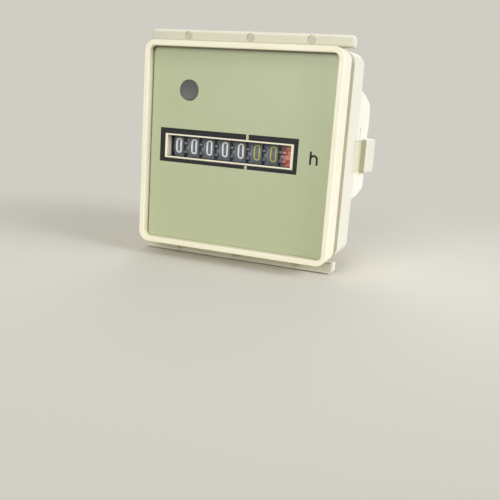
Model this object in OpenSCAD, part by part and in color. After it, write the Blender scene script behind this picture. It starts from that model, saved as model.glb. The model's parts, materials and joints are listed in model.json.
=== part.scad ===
// Square panel hour meter: a bezelled case, a sliding clamp frame and a seven-wheel counter.
// X runs right and Z up as seen from the front, and Y runs back through the panel.
// The origin is the centre of the seat, the plane where the bezel meets the panel.

/* [Bezel and body] */
// Width and height of the square bezel
bezel_w = 48; // [47:0.5:52]
// Depth of the bezel in front of the panel
bezel_d = 6.6; // [6:0.1:9]
// Corner radius of the bezel
bezel_r = 2.6; // [2.2:0.1:4]
// Width of the lip round the sunk face
lip_w = 1.33; // [1.1:0.01:1.6]
// Depth of the face below the lip
face_sink = 2; // [1.5:0.1:2.6]
// Width and height of the body that passes through the panel
body_w = 44.6; // [44:0.1:45]
// Corner radius of the body
body_r = 2; // [1:0.1:3]
// Length of the body behind the panel
body_d = 19.2; // [18.6:0.2:22]
// Thickness of the body wall
wall = 1.6; // [1.3:0.1:1.8]
// Thickness of the front wall behind the face plate
floor_t = 1.4; // [1.2:0.1:2]
// Diameter of the corner posts that take the cover screws
post_d = 4.8; // [4.6:0.1:5.4]

/* [Face plate and window] */
// Thickness of the face plate
face_t = 0.6; // [0.4:0.1:0.8]
// Clearance round the face plate and its cut-outs
face_fit = 0.14; // [0.1:0.01:0.18]
// How far the plate rests below the middle of its recess
face_drop = 0.08; // [0:0.01:0.09]
// Width of the counter window
window_w = 31.2; // [30.4:0.1:31.6]
// Height of the counter window
window_h = 5; // [4.4:0.1:5.6]
// Shift of the window to the right of the counter's middle
window_shift = 0.3; // [0:0.05:0.6]
// Thickness of the raised rim round the window
rim_t = 0.55; // [0.4:0.05:0.8]
// Height of the rim above the face plate
rim_proud = 0.15; // [0.05:0.05:0.3]
// Diameter of the indicator hole
indicator_d = 4.9; // [4:0.1:5.5]
// Sideways distance of the indicator from the left corner posts
indicator_side = 5.45; // [5:0.05:7]
// Height of the indicator above the centre
indicator_z = 13.05; // [12.8:0.05:13.6]
// Depth of the indicator's lens below the face plate
lens_sink = 0.25; // [0.1:0.05:0.5]

/* [Counter] */
// Radius of the number wheels
wheel_r = 7.5; // [7.1:0.1:7.8]
// Distance from one number wheel to the next
wheel_pitch = 4.06; // [3.98:0.01:4.1]
// Gap between the counter's frame and the left board rail
side_gap = 0.44; // [0.2:0.02:0.8]
// Height of the counter's axis above the centre
counter_z = -0.2; // [-0.5:0.05:0.2]
// Gap between the wheels and the front wall
wheel_clear = 0.6; // [0.4:0.1:1]
// Width of the rim that carries the figures
rim_w = 2.4; // [2.3:0.05:2.5]
// Width of a wheel's transfer gear
gear_w = 0.8; // [0.7:0.05:0.85]
// Gap between one wheel and the next
wheel_gap = 0.11; // [0.08:0.01:0.2]
// Step down from the figures to the transfer teeth
rim_step = 0.5; // [0.4:0.05:0.7]
// Width of the plain lugs on the run wheel
lug_w = 1.65; // [1.4:0.05:1.8]
// Diameter of the shaft that carries the wheels
shaft_d = 2; // [1.6:0.1:2.4]
// Diameter of the shaft that carries the transfer pinions
pinion_shaft_d = 1.2; // [1:0.1:1.5]
// Radial clearance of a wheel on its shaft
run_fit = 0.04; // [0.02:0.01:0.08]
// Direction of the pinion shaft from the counter's axis, below straight back
pinion_angle = 50; // [45:1:54]
// Thickness of the bent sheet frame that carries the counter
sheet = 0.8; // [0.6:0.1:1]

/* [Clamp frame] */
// Clearance of the clamp frame round the body
clamp_gap = 0.35; // [0.3:0.05:0.6]
// Thickness of the clamp frame's wall
clamp_t = 1.35; // [1.2:0.05:1.8]
// Corner radius of the clamp frame
clamp_r = 2.8; // [2.4:0.1:5]
// Distance from the panel seat to the ring
ring_front = 3.3; // [2.4:0.1:4]
// Depth of the ring
ring_d = 10; // [9:0.1:12]
// Length of the two pressing strips
strip_l = 49.7; // [48:0.1:52]
// Shift of the strips towards the left, seen from the front
strip_shift = 0.75; // [0:0.05:1]
// Reach of the strips beyond the ring
strip_reach = 3.05; // [2.6:0.05:4]
// Step from the ring out to the inner edge of the strips
strip_step = 0.35; // [0.2:0.05:0.6]
// Depth of the strips
strip_d = 2.2; // [1.8:0.1:2.4]
// Gap from the panel seat to the strips
strip_gap = 0.3; // [0.2:0.05:0.8]
// Rounding of the strips' outer corners
strip_r = 0.9; // [0.5:0.1:1.1]
// Diameter of the round marks on the strips
mark_d = 1.9; // [1.4:0.1:2.2]
// Spacing of the round marks
mark_step = 15; // [12:0.5:17]
// Splay of the spring ears, in degrees
ear_splay = 7; // [5:0.5:9]
// Thickness of the spring ears
ear_t = 1.45; // [1.3:0.05:1.6]
// Length of the spring ears
ear_l = 8.05; // [7:0.05:9]
// Height of the ears' upper root above the centre
ear_top = 15.7; // [15:0.1:16.5]
// Height of the ears' lower root, below the centre
ear_low = -10.6; // [-11.5:0.1:-10]
// Height of the finger tab
tab_h = 8.3; // [7:0.1:9]
// Length of the finger tab
tab_l = 6.6; // [6:0.1:7.5]
// Height of the finger tab above its ear
tab_proud = 1.6; // [1.2:0.1:2]
// Depth of the fingertip hollow before the tab
scoop_depth = 0.33; // [0.2:0.01:0.45]
// Gap between the pawl under the tab and the ratchet teeth
pawl_gap = 0.2; // [0.15:0.05:0.3]

/* [Rear cover] */
// Thickness of the cover's flange
cover_t = 1.6; // [1.2:0.1:2]
// Step from the side of the body in to the cup behind the cover
cup_side = 5.3; // [4.9:0.1:6]
// Step from the top and the underside of the body in to the cup
cup_rise = 5.8; // [5.2:0.1:6.5]
// Depth of the cup behind the flange
cup_d = 18.2; // [17.8:0.1:22]
// Thickness of the cup's walls
cup_t = 1.5; // [1.2:0.1:1.8]
// Length of the ratchet racks behind the flange
rack_l = 10.5; // [9:1.5:13.5]
// Height of the ratchet racks
rack_h = 10; // [8:0.5:12]
// Pitch of the ratchet teeth
rack_pitch = 1.5; // [1.2:0.1:1.6]
// Depth of the ratchet teeth
rack_tooth = 0.5; // [0.3:0.05:0.6]
// Diameter of a cover screw's thread
screw_d = 2.2; // [1.8:0.1:2.4]
// Width of a blade terminal
blade_w = 6.3; // [4.8:0.1:6.4]
// Thickness of a blade terminal
blade_t = 0.8; // [0.5:0.1:1]
// Distance between the two blades
blade_step = 16; // [14:0.5:19]

/* [Electromagnet] */
// Distance of the coil's axis behind the panel seat
coil_y = 22; // [21.8:0.1:22.6]
// Outer diameter of the coil former
former_d = 13; // [11:0.5:13.5]
// Length of the coil former
former_l = 15.8; // [14:0.1:16]
// Diameter of the iron core
core_d = 4; // [3:0.1:5]
// Thickness of the iron yoke
yoke_t = 1.5; // [1.2:0.1:1.8]
// Width of the yoke and the armature
yoke_w = 10; // [9:0.5:11]
// Air gap between the core and the armature
air_gap = 0.45; // [0.4:0.01:0.5]
// Thickness of the armature
armature_t = 1; // [0.8:0.1:1.2]

/* [Circuit board] */
// Thickness of the circuit board
board_t = 1.6; // [1:0.1:1.6]
// Diameter of the indicator lamp
lamp_d = 5; // [4:0.1:5]
// Clearance of the board in its rails and of leads in their holes
board_fit = 0.12; // [0.08:0.01:0.2]

/* [Hidden] */
$fn = 48;

// Overlap that joins the shapes of one piece, and overshoot of a cut past its surface
bite = 0.2;
over = 1;

// Faces of the case along Y
front_y = -bezel_d;
face_y = front_y + face_sink;
floor_front = face_y + face_t;
floor_back = floor_front + floor_t;
cover_back = body_d + cover_t;
cup_end = cover_back + cup_d;
cup_floor = cup_end - cup_t;
bezel_half = bezel_w / 2;
body_half = body_w / 2;
inside_half = body_half - wall;
face_w = bezel_w - 2 * lip_w - 2 * face_fit;
cup_w = body_w - 2 * cup_side;
cup_h = body_w - 2 * cup_rise;

// Corner posts and their screws
post_place = inside_half - post_d / 2 + 0.1;
post_gap = 0.4;
indicator_x = indicator_side - post_place;
post_hole_depth = 9;
screw_clear = 0.1;
screw_l = 7;
screw_head_d = 2 * screw_d - 0.4;
screw_head_h = 1.3;

// Transfer gearing of the counter
wheel_count = 7;
wheel_teeth = 20;
pinion_teeth = 8;
addendum = 0.8;
dedendum = 1.1;
backlash = 0.12;
tooth_angle = 20;
gear_m = (wheel_r - rim_step) / (wheel_teeth / 2 + addendum);
gear_distance = gear_m * (wheel_teeth + pinion_teeth) / 2;
carry_w = wheel_pitch - rim_w - gear_w - wheel_gap;
carry_gap = 0.2;
stub_r = gear_m * (pinion_teeth / 2 - dedendum) + 0.06;
carry_r = gear_distance - stub_r - carry_gap;
lock_r = carry_r - 0.25;
counter_y = floor_back + wheel_clear + wheel_r;
pinion_y = counter_y + gear_distance * cos(pinion_angle);
pinion_z = counter_z - gear_distance * sin(pinion_angle);
run_gear_w = 0.95;
rail_w = 1.1;
rail_h = 1.2;
frame_gap = 0.15;
frame_left = -inside_half + rail_w + side_gap + sheet;
wheel_x = frame_left + frame_gap + carry_w + rim_w / 2 + (wheel_count - 1) * wheel_pitch;
run_x = wheel_x + rim_w / 2 + gear_w + wheel_gap;
run_end = run_x + run_gear_w + lug_w;
lug_r = wheel_r - 0.2;
lug_depth = 1;

// Bent sheet frame of the counter
frame_right = run_end + frame_gap;
window_x = (frame_left + frame_right) / 2 + window_shift;
frame_low = pinion_z - gear_m * (pinion_teeth / 2 + addendum) - 1.1;
frame_back = pinion_y + 2.6;
rivet = 0.5;
foot_y = floor_back + 3.6;
foot_drop = 6;
foot_step = 22;
foot_half = post_place - post_d / 2 - post_gap;
foot_z = frame_low - foot_drop / 2 - sheet;
boss_d = 5;
small_screw_d = 1.8;
small_head_d = 3.4;
small_head_h = 1.1;
small_screw_l = 4;

// Clamp frame
clamp_in = body_half + clamp_gap;
clamp_out = clamp_in + clamp_t;
clamp_in_r = body_r + clamp_gap;
ring_back = ring_front + ring_d;
strip_top = clamp_out + strip_reach;
strip_low = clamp_out + strip_step;
strip_end_r = 0.8;
strip_low_r = 0.3;
web_half = clamp_out - clamp_r;
web_back = 0.2;
mark_depth = 0.3;
ear_slope_r = 19;
ear_top_lean = 11;
ear_low_lean = 4.5;
ear_edge_r = 13.4;
ear_top_mid = 8.4;
ear_low_mid = -7;
tab_y = 3.4;
tab_r = 0.7;
slit_y = 1.85;
slit_w = 0.25;
slit_eye_d = 0.5;
slit_up = 2.4;
slit_down = 0.6;
scoop_l = 3.5;
scoop_r = 18;
pawl_l = 2.6;
pawl_h = 6;

// Electromagnet, with the armature hinged at the end of the yoke
former_end = 5.4;
former_flange = 0.8;
former_tube = 0.75;
coil_slack = 0.05;
pole_t = 1;
pole_d = core_d + 2.4;
yoke_back = former_end - former_l - 0.1;
yoke_start = yoke_back - yoke_t;
pole_face = former_end + 0.1 + pole_t;
bar_y = coil_y + former_d / 2 + 1.5;
bar_end = pole_face - 1;
armature_x = pole_face + air_gap;
hinge_x = armature_x + armature_t + 1;
hinge_y = bar_y;
hinge_pin_d = 1.2;
knuckle_d = 3;
hinge_gap = 0.3;
armature_w = yoke_w - 2 * yoke_t - 2 * hinge_gap + 1;
armature_front = counter_y + wheel_r + 1.8;
pallet_gap = 0.35;
pallet_tip = counter_y + lug_r + pallet_gap;
pallet_x = run_x + run_gear_w + 0.35;
pallet_w = 0.8;
magnet_screw_x = [-4.4, 3];

// Circuit board in its rails, with the indicator lamp over its front edge
board_top = indicator_z - lamp_d / 2 - 0.2;
board_low = board_top - board_t;
board_half = inside_half - 0.25;
board_front = floor_back + 2.1;
spigot_l = 2;
spigot_t = 1.2;
board_back = body_d - spigot_l - 0.2;
lens_t = 0.8;
lens_flange = 0.6;
lens_dish = 0.12;
lens_dish_r = 20;
lead_d = 0.6;
lead_l = board_t + 0.6;
film_room = 1.75;
film_size = [13, 6, inside_half - board_top - film_room];
film_place = [4, 12];
film_leads = 10;
can_d = 5;
can_room = 2.35;
can_h = inside_half - board_top - can_room;
can_place = [foot_half - can_d / 2, 4.5];
can_leads = 2.5;
chip_size = [9.2, 6.4, 3.2];
chip_place = [-3, 4];
chip_lift = 0.5;
chip_rows = 7.6;
chip_pitch = 2.54;
resistor_d = 2.4;
resistor_l = 6.5;
resistor_side = 8.45;
resistor_place = [resistor_side - board_half, 12.5];
resistor_leads = 10.2;
lamp_leads = 2.54;

function place_of(k) = wheel_x - (k - 1) * wheel_pitch;

// Half the angle of a gear tooth at radius r, from an involute flank
function involute_turn(a) = tan(a) * 180 / PI - a;
function tooth_half(teeth, m, r) =
    let (pitch_r = m * teeth / 2)
    let (base_r = pitch_r * cos(tooth_angle))
    let (a = r > base_r ? acos(base_r / r) : 0)
    90 / teeth - backlash / 2 / pitch_r * 180 / PI + involute_turn(tooth_angle) - involute_turn(a);

function gear_points(teeth, m, turn) =
    let (low = m * (teeth / 2 - dedendum))
    let (high = m * (teeth / 2 + addendum))
    let (radii = [low, m * teeth / 2 * 0.96, m * teeth / 2, high])
    [for (i = [0 : teeth - 1])
        let (middle = turn + 360 * i / teeth)
        each concat(
            [for (r = radii) polar(r, middle - tooth_half(teeth, m, r))],
            [for (k = [3 : -1 : 0]) polar(radii[k], middle + tooth_half(teeth, m, radii[k]))])];

function polar(r, a) = [r * cos(a), r * sin(a)];

module rounded_square(w, h, r) {
    square([w - 2 * r, h], center = true);
    square([w, h - 2 * r], center = true);
    for (x = [-1, 1], z = [-1, 1])
        translate([x * (w / 2 - r), z * (h / 2 - r)])
            circle(r);
}

// Extrude an outline drawn in X and Z from one depth to another
module slab(y0, y1) {
    translate([0, y1, 0])
        rotate([90, 0, 0])
            linear_extrude(y1 - y0)
                children();
}

// Extrude an outline drawn in Y and Z from one side to another
module across(x0, x1) {
    translate([x0, 0, 0])
        rotate([90, 0, 90])
            linear_extrude(x1 - x0)
                children();
}

// Place an outline in Y and Z on an axis that runs along X
module on_axis(x0, x1, y, z) {
    translate([0, y, z])
        across(x0, x1)
            children();
}

module corners(place) {
    for (x = [-1, 1], z = [-1, 1])
        translate([x * place, 0, z * place])
            children();
}

module pan_screw(d, l, head_d, head_h) {
    rotate([90, 0, 0])
        cylinder(d = d, h = l);
    rotate([-90, 0, 0])
        cylinder(d1 = head_d, d2 = head_d * 0.82, h = head_h);
}

// Saw-tooth notches that run along Z in the side of the body or of a rack
module ratchet_notches(y0, count) {
    for (i = [0 : count - 1])
        translate([body_half, y0 + i * rack_pitch, 0])
            linear_extrude(rack_h + 2 * over, center = true)
                polygon([[over, 0], [0, 0], [-rack_tooth, rack_pitch * 0.15], [0, rack_pitch * 0.85],
                    [over, rack_pitch * 0.85]]);
}

module on_both_sides() {
    children();
    mirror([1, 0, 0])
        children();
}

module window_outline(grow) {
    translate([window_x, counter_z])
        square([window_w + 2 * grow, window_h + 2 * grow], center = true);
}

module housing_walls() {
    slab(front_y, floor_front + bite)
        difference() {
            rounded_square(bezel_w, bezel_w, bezel_r);
            rounded_square(bezel_w - 2 * lip_w, bezel_w - 2 * lip_w, bezel_r - lip_w);
        }
    slab(floor_front, 0)
        rounded_square(bezel_w, bezel_w, bezel_r);
    slab(floor_front, body_d)
        rounded_square(body_w, body_w, body_r);
    slab(face_y - rim_proud, floor_front + bite)
        window_outline(rim_t);
}

module housing_inside() {
    difference() {
        slab(floor_back, body_d + over)
            rounded_square(2 * inside_half, 2 * inside_half, max(body_r - wall, 0.3));
        corners(post_place)
            rotate([-90, 0, 0])
                cylinder(d = post_d, h = body_d + over);
        for (x = [-1, 1])
            translate([x * foot_step / 2, floor_back - bite, foot_z])
                rotate([-90, 0, 0])
                    cylinder(d = boss_d, h = foot_y - floor_back + bite);
        on_both_sides()
            for (z = [board_low - board_fit - rail_h, board_top + board_fit])
                translate([inside_half - rail_w, floor_back - bite, z])
                    cube([rail_w + over, board_back - floor_back, rail_h]);
    }
}

module front_housing() {
    color("#f3f0dc")
        difference() {
            housing_walls();
            housing_inside();
            slab(front_y - over, floor_back + over)
                window_outline(0);
            translate([indicator_x, floor_back - over - lens_t, indicator_z])
                rotate([90, 0, 0])
                    cylinder(d = indicator_d, h = bezel_d);
            translate([indicator_x, floor_back + over, indicator_z])
                rotate([90, 0, 0])
                    cylinder(d = indicator_d, h = bezel_d);
            translate([indicator_x, floor_back + over, indicator_z])
                rotate([90, 0, 0])
                    cylinder(d = indicator_d + 2 * lens_flange + 2 * board_fit, h = over + lens_t);
            corners(post_place)
                translate([0, body_d + over, 0])
                    rotate([90, 0, 0])
                        cylinder(d = screw_d + screw_clear, h = post_hole_depth + over);
            for (x = [-1, 1])
                translate([x * foot_step / 2, foot_y + over, foot_z])
                    rotate([90, 0, 0])
                        cylinder(d = small_screw_d + screw_clear, h = foot_y - floor_back + over);
            on_both_sides()
                intersection() {
                    ratchet_notches(body_d - 4 * rack_pitch, 4);
                    slab(0, body_d + over)
                        square([2 * bezel_w, rack_h], center = true);
                }
        }
}

module face_plate() {
    color("#b6bd98")
        translate([0, 0, -face_drop])
            slab(face_y, floor_front)
                difference() {
                    rounded_square(face_w, face_w, bezel_r - lip_w - face_fit);
                    window_outline(rim_t + face_fit);
                    translate([indicator_x, indicator_z])
                        circle(d = indicator_d);
                }
}

// Smoked lens: a flange behind the front wall and a dished boss that fills the hole
module indicator_lens() {
    boss_l = floor_back - face_y - lens_sink;
    color("#5f6062")
        translate([indicator_x, floor_back, indicator_z])
            rotate([90, 0, 0])
                difference() {
                    union() {
                        cylinder(d = indicator_d + 2 * lens_flange, h = lens_t);
                        cylinder(d = indicator_d - 2 * board_fit, h = boss_l);
                    }
                    translate([0, 0, boss_l - lens_dish + lens_dish_r])
                        sphere(lens_dish_r);
                }
}

// Strip with rounded outer corners, in X and Z
module strip_outline() {
    strip_h = strip_top - strip_low;
    translate([-strip_shift, strip_low + strip_h / 2]) {
        intersection() {
            rounded_square(strip_l, strip_h, strip_r);
            translate([-strip_l, 0])
                square([2 * strip_l, strip_h]);
        }
        intersection() {
            rounded_square(strip_l, strip_h, strip_low_r);
            translate([-strip_l, bite - strip_h])
                square([2 * strip_l, strip_h]);
        }
    }
}

// Pressing strip with its round marks, on a web that comes forward from the ring
module pressing_strip() {
    difference() {
        intersection() {
            slab(strip_gap, strip_gap + strip_d)
                strip_outline();
            translate([-strip_shift, strip_gap + strip_d / 2, 0])
                linear_extrude(strip_top + over)
                    rounded_square(strip_l, strip_d, strip_end_r);
        }
        for (i = [-1 : 1])
            translate([i * mark_step, strip_gap + mark_depth, (strip_top + strip_low) / 2])
                rotate([90, 0, 0])
                    cylinder(d = mark_d, h = mark_depth + over);
    }
    translate([-web_half, strip_gap + web_back, clamp_in])
        cube([2 * web_half, ring_front + bite - strip_gap - web_back, strip_low + bite - clamp_in]);
}

// Outline of a spring ear in Y and Z: two bowed slopes and two bowed lobes
module ear_outline() {
    intersection() {
        translate([-bite, ear_low - over])
            square([ear_l + over, ear_top - ear_low + 2 * over]);
        translate([-ear_slope_r * sin(ear_top_lean), ear_top - ear_slope_r * cos(ear_top_lean)])
            circle(ear_slope_r);
        translate([-ear_slope_r * sin(ear_low_lean), ear_low + ear_slope_r * cos(ear_low_lean)])
            circle(ear_slope_r);
        union()
            for (middle = [ear_top_mid, ear_low_mid])
                translate([ear_l - ear_edge_r, middle])
                    circle(ear_edge_r);
    }
}

// Slits above and below the tab, the upper one with a round eye at its end
module ear_slits() {
    across(-2 * ear_t, 2 * ear_t) {
        translate([slit_y, tab_h / 2])
            square([slit_w, slit_up]);
        translate([slit_y + slit_w / 2, tab_h / 2 + slit_up])
            circle(d = slit_eye_d);
        translate([slit_y, -tab_h / 2 - slit_down])
            square([slit_w, slit_down]);
    }
}

module spring_ear() {
    difference() {
        translate([clamp_out, ring_back, 0])
            rotate([0, 0, -ear_splay]) {
                across(-ear_t, 0)
                    ear_outline();
                translate([0, tab_y + tab_l / 2, 0])
                    across(-ear_t, tab_proud)
                        rounded_square(tab_l, tab_h, tab_r);
                translate([-ear_t - tab_proud, tab_y + tab_l / 2 - pawl_l / 2, -pawl_h / 2])
                    cube([tab_proud + bite, pawl_l, pawl_h]);
            }
        translate([clamp_out, ring_back, 0])
            rotate([0, 0, -ear_splay])
                ear_slits();
        translate([0, ring_back, -bezel_half])
            cube([body_half + pawl_gap, 3 * ear_l, bezel_w]);
    }
}

// Shallow hollow in the ring and the ear that lets a fingertip reach the tab
module finger_scoop() {
    translate([clamp_out + scoop_r - scoop_depth, ring_back + (tab_y - scoop_l) / 2, 0])
        cylinder(r = scoop_r, h = tab_h - tab_r, center = true, $fn = 180);
}

module clamp_frame() {
    color("#f7f6ea")
        difference() {
            union() {
                slab(ring_front, ring_back)
                    difference() {
                        rounded_square(2 * clamp_out, 2 * clamp_out, clamp_r);
                        rounded_square(2 * clamp_in, 2 * clamp_in, clamp_in_r);
                    }
                pressing_strip();
                mirror([0, 0, 1])
                    pressing_strip();
                on_both_sides()
                    spring_ear();
            }
            on_both_sides()
                difference() {
                    finger_scoop();
                    translate([clamp_out, ring_back, 0])
                        rotate([0, 0, -ear_splay])
                            translate([-over, tab_y, -tab_h])
                                cube([2 * ear_l, ear_l, 2 * tab_h]);
                }
        }
}

module rack() {
    difference() {
        translate([cup_w / 2 - bite, cover_back - bite, -rack_h / 2])
            cube([body_half - cup_w / 2 + bite, rack_l + bite, rack_h]);
        ratchet_notches(cover_back + rack_pitch * 0.1, floor(rack_l / rack_pitch));
    }
}

module blade_places() {
    for (x = [-1, 1])
        translate([x * blade_step / 2, 0, 0])
            children();
}

module rear_cover() {
    span = 2 * (post_place - post_d / 2) - 1;
    color("#f3f0dc")
        difference() {
            union() {
                slab(body_d, cover_back)
                    rounded_square(body_w, body_w, body_r);
                slab(body_d, cup_end)
                    rounded_square(cup_w, cup_h, 3);
                for (turn = [0 : 90 : 270])
                    rotate([0, turn, 0])
                        translate([-span / 2, body_d - spigot_l, inside_half - face_fit - spigot_t])
                            cube([span, spigot_l + bite, spigot_t]);
                on_both_sides()
                    rack();
            }
            difference() {
                slab(body_d - over, cup_floor)
                    rounded_square(cup_w - 2 * cup_t, cup_h - 2 * cup_t, 3 - cup_t);
                for (x = magnet_screw_x)
                    translate([x, bar_y + yoke_t, 0])
                        rotate([-90, 0, 0])
                            cylinder(d = boss_d, h = cup_end);
            }
            for (x = magnet_screw_x)
                translate([x, bar_y, 0])
                    rotate([-90, 0, 0])
                        cylinder(d = small_screw_d + screw_clear, h = yoke_t + small_screw_l);
            corners(post_place)
                translate([0, body_d - over, 0])
                    rotate([-90, 0, 0])
                        cylinder(d = screw_d + 2 * screw_clear, h = cover_t + 2 * over);
            blade_places()
                translate([-blade_t / 2, cup_floor - over, -blade_w / 2])
                    cube([blade_t, cup_t + 2 * over, blade_w]);
        }
}

module cover_screws() {
    color("#c9c9c4")
        corners(post_place)
            translate([0, cover_back, 0])
                pan_screw(screw_d, cover_t + screw_l, screw_head_d, screw_head_h);
}

module frame_side(x) {
    across(x, x + sheet)
        difference() {
            translate([floor_back, frame_low - sheet])
                square([frame_back - floor_back, board_low - 0.7 - frame_low + sheet]);
            translate([counter_y, counter_z])
                circle(d = shaft_d + 2 * run_fit);
            translate([pinion_y, pinion_z])
                circle(d = pinion_shaft_d + 2 * run_fit);
        }
}

module counter_frame() {
    color("#b9bcc0") {
        frame_side(frame_left - sheet);
        frame_side(frame_right);
        translate([frame_left - bite, foot_y, frame_low - sheet])
            cube([frame_right - frame_left + 2 * bite, frame_back - foot_y, sheet]);
        difference() {
            translate([-foot_half, foot_y, frame_low - foot_drop - sheet])
                cube([2 * foot_half, sheet, foot_drop + sheet]);
            for (x = [-1, 1])
                translate([x * foot_step / 2, foot_y - over, foot_z])
                    rotate([-90, 0, 0])
                        cylinder(d = small_screw_d + 2 * screw_clear, h = sheet + 2 * over);
        }
    }
}

module frame_screws() {
    color("#c9c9c4")
        for (x = [-1, 1])
            translate([x * foot_step / 2, foot_y + sheet, foot_z])
                pan_screw(small_screw_d, sheet + small_screw_l - 1, small_head_d, small_head_h);
}

module plain_shaft(d, y, z) {
    color("#d2d3d2")
        on_axis(frame_left - sheet - rivet, frame_right + sheet + rivet, y, z)
            circle(d = d);
}

module counter_shaft() {
    plain_shaft(shaft_d, counter_y, counter_z);
}

module pinion_shaft() {
    plain_shaft(pinion_shaft_d, pinion_y, pinion_z);
}

// Teeth of a wheel leave a gap on the line to the pinion shaft
module wheel_gear() {
    polygon(gear_points(wheel_teeth, gear_m, -pinion_angle + 180 / wheel_teeth));
}

// Locking disc with the two carry teeth, which have just passed the pinion at zero
module carry_disc() {
    circle(lock_r);
    for (side = [-1, 1])
        rotate(-pinion_angle - 36 + side * 180 / wheel_teeth)
            translate([lock_r - bite, -0.35])
                square([carry_r - lock_r + bite, 0.7]);
}

module shaft_bore(x0, x1) {
    on_axis(x0 - over, x1 + over, counter_y, counter_z)
        circle(d = shaft_d + 2 * run_fit);
}

module number_wheel(k) {
    left = place_of(k) - rim_w / 2;
    right = place_of(k) + rim_w / 2;
    color("#3f4248")
        difference() {
            union() {
                on_axis(left, right, counter_y, counter_z)
                    circle(wheel_r);
                on_axis(right - bite, right + gear_w, counter_y, counter_z)
                    wheel_gear();
                on_axis(left - carry_w, left + bite, counter_y, counter_z)
                    carry_disc();
            }
            shaft_bore(left - carry_w, right + gear_w);
        }
}

module run_wheel() {
    lug_start = run_x + run_gear_w;
    lug_turn = 360 / wheel_teeth;
    color("#c65a50")
        difference() {
            union() {
                on_axis(run_x, lug_start, counter_y, counter_z)
                    wheel_gear();
                on_axis(run_x + bite, run_end, counter_y, counter_z)
                    circle(lug_r / 2);
                on_axis(lug_start, run_end, counter_y, counter_z)
                    circle(lug_r - lug_depth);
                on_axis(lug_start, run_end, counter_y, counter_z)
                    for (i = [0 : wheel_teeth - 1])
                        rotate(-pinion_angle + i * lug_turn)
                            translate([lug_r - lug_depth - bite, -lug_r * sin(lug_turn / 4)])
                                square([lug_depth + bite, 2 * lug_r * sin(lug_turn / 4)]);
            }
            shaft_bore(run_x, run_end);
        }
}

// A pinion turns the slower wheel on its left; on its right it meets the carry teeth of the faster
// wheel, or for the first pinion the gear of the run wheel
module transfer_pinion(k) {
    start = place_of(k) + rim_w / 2 + 0.1;
    end = place_of(k) + rim_w / 2 + gear_w;
    tooth_turn = 180 - pinion_angle;
    color("#8d9096")
        difference() {
            union() {
                on_axis(start, k == 1 ? run_x + run_gear_w - 0.05 : end, pinion_y, pinion_z)
                    polygon(gear_points(pinion_teeth, gear_m, tooth_turn));
                if (k > 1)
                    on_axis(end - bite, end + wheel_gap + carry_w - 0.1, pinion_y, pinion_z)
                        intersection() {
                            circle(stub_r);
                            union() {
                                circle(stub_r - 0.4);
                                for (i = [0 : pinion_teeth / 2 - 1])
                                    rotate(tooth_turn + 45 + 90 * i)
                                        translate([0, -0.45])
                                            square([2 * stub_r, 0.9]);
                            }
                        }
            }
            on_axis(start - over, end + wheel_pitch, pinion_y, pinion_z)
                circle(d = pinion_shaft_d + 2 * run_fit);
        }
}

module magnet_yoke() {
    color("#a9abad")
        difference() {
            union() {
                translate([yoke_start, coil_y - former_d / 2, -yoke_w / 2])
                    cube([yoke_t, bar_y + yoke_t - coil_y + former_d / 2, yoke_w]);
                translate([yoke_start, bar_y, -yoke_w / 2])
                    cube([bar_end - yoke_start, yoke_t, yoke_w]);
                for (z = [-yoke_w / 2, yoke_w / 2 - yoke_t / 2])
                    translate([bar_end - bite, bar_y - knuckle_d / 2, z])
                        cube([hinge_x + knuckle_d / 2 - bar_end + bite, knuckle_d / 2 + yoke_t, yoke_t / 2]);
            }
            translate([0, coil_y, 0])
                across(yoke_start - over, yoke_back + over)
                    circle(d = core_d);
            for (x = magnet_screw_x)
                translate([x, bar_y - over, 0])
                    rotate([-90, 0, 0])
                        cylinder(d = small_screw_d + 2 * screw_clear, h = yoke_t + 2 * over);
            translate([hinge_x, hinge_y, -yoke_w])
                cylinder(d = hinge_pin_d, h = 2 * yoke_w);
        }
}

module magnet_core() {
    color("#9fa2a6") {
        translate([0, coil_y, 0])
            across(yoke_start, pole_face)
                circle(d = core_d);
        translate([0, coil_y, 0])
            across(pole_face - pole_t, pole_face)
                circle(d = pole_d);
    }
}

module magnet_screws() {
    color("#c9c9c4")
        for (x = magnet_screw_x)
            translate([x, bar_y, 0])
                mirror([0, 1, 0])
                    pan_screw(small_screw_d, yoke_t + small_screw_l - 0.5, small_head_d, small_head_h);
}

module coil_former() {
    tube_r = core_d / 2 + former_tube;
    color("#e8e2cc")
        translate([former_end, coil_y, 0])
            rotate([0, -90, 0])
                rotate_extrude()
                    translate([core_d / 2 + coil_slack, 0]) {
                        square([tube_r - core_d / 2 - coil_slack, former_l]);
                        for (x = [0, former_l - former_flange])
                            translate([0, x])
                                square([former_d / 2 - core_d / 2 - coil_slack, former_flange]);
                    }
}

module coil_winding() {
    start = former_end - former_l + former_flange + coil_slack;
    end = former_end - former_flange - coil_slack;
    color("#b5662e")
        translate([0, coil_y, 0])
            across(start, end)
                difference() {
                    circle(former_d / 2 - 0.5);
                    circle(core_d / 2 + former_tube + coil_slack);
                }
}

module armature() {
    color("#a9abad")
        difference() {
            union() {
                translate([armature_x, armature_front, -armature_w / 2])
                    cube([armature_t, hinge_y - armature_front, armature_w]);
                translate([hinge_x, hinge_y, -armature_w / 2])
                    cylinder(d = knuckle_d, h = armature_w);
            }
            translate([hinge_x, hinge_y, -yoke_w])
                cylinder(d = hinge_pin_d + 2 * run_fit, h = 2 * yoke_w);
        }
}

module armature_pin() {
    color("#d2d3d2")
        translate([hinge_x, hinge_y, -yoke_w / 2 - rivet])
            cylinder(d = hinge_pin_d, h = yoke_w + 2 * rivet);
}

// Moulded pallet on the free end of the armature, with its nose behind the run wheel
module drive_pallet() {
    base = armature_x + armature_t;
    color("#e8e2cc") {
        translate([base, armature_front, -2])
            cube([pallet_x + pallet_w - base, 2.2, 4]);
        translate([pallet_x, pallet_tip, -0.8])
            cube([pallet_w, armature_front + bite - pallet_tip, 1.6]);
    }
}

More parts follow.
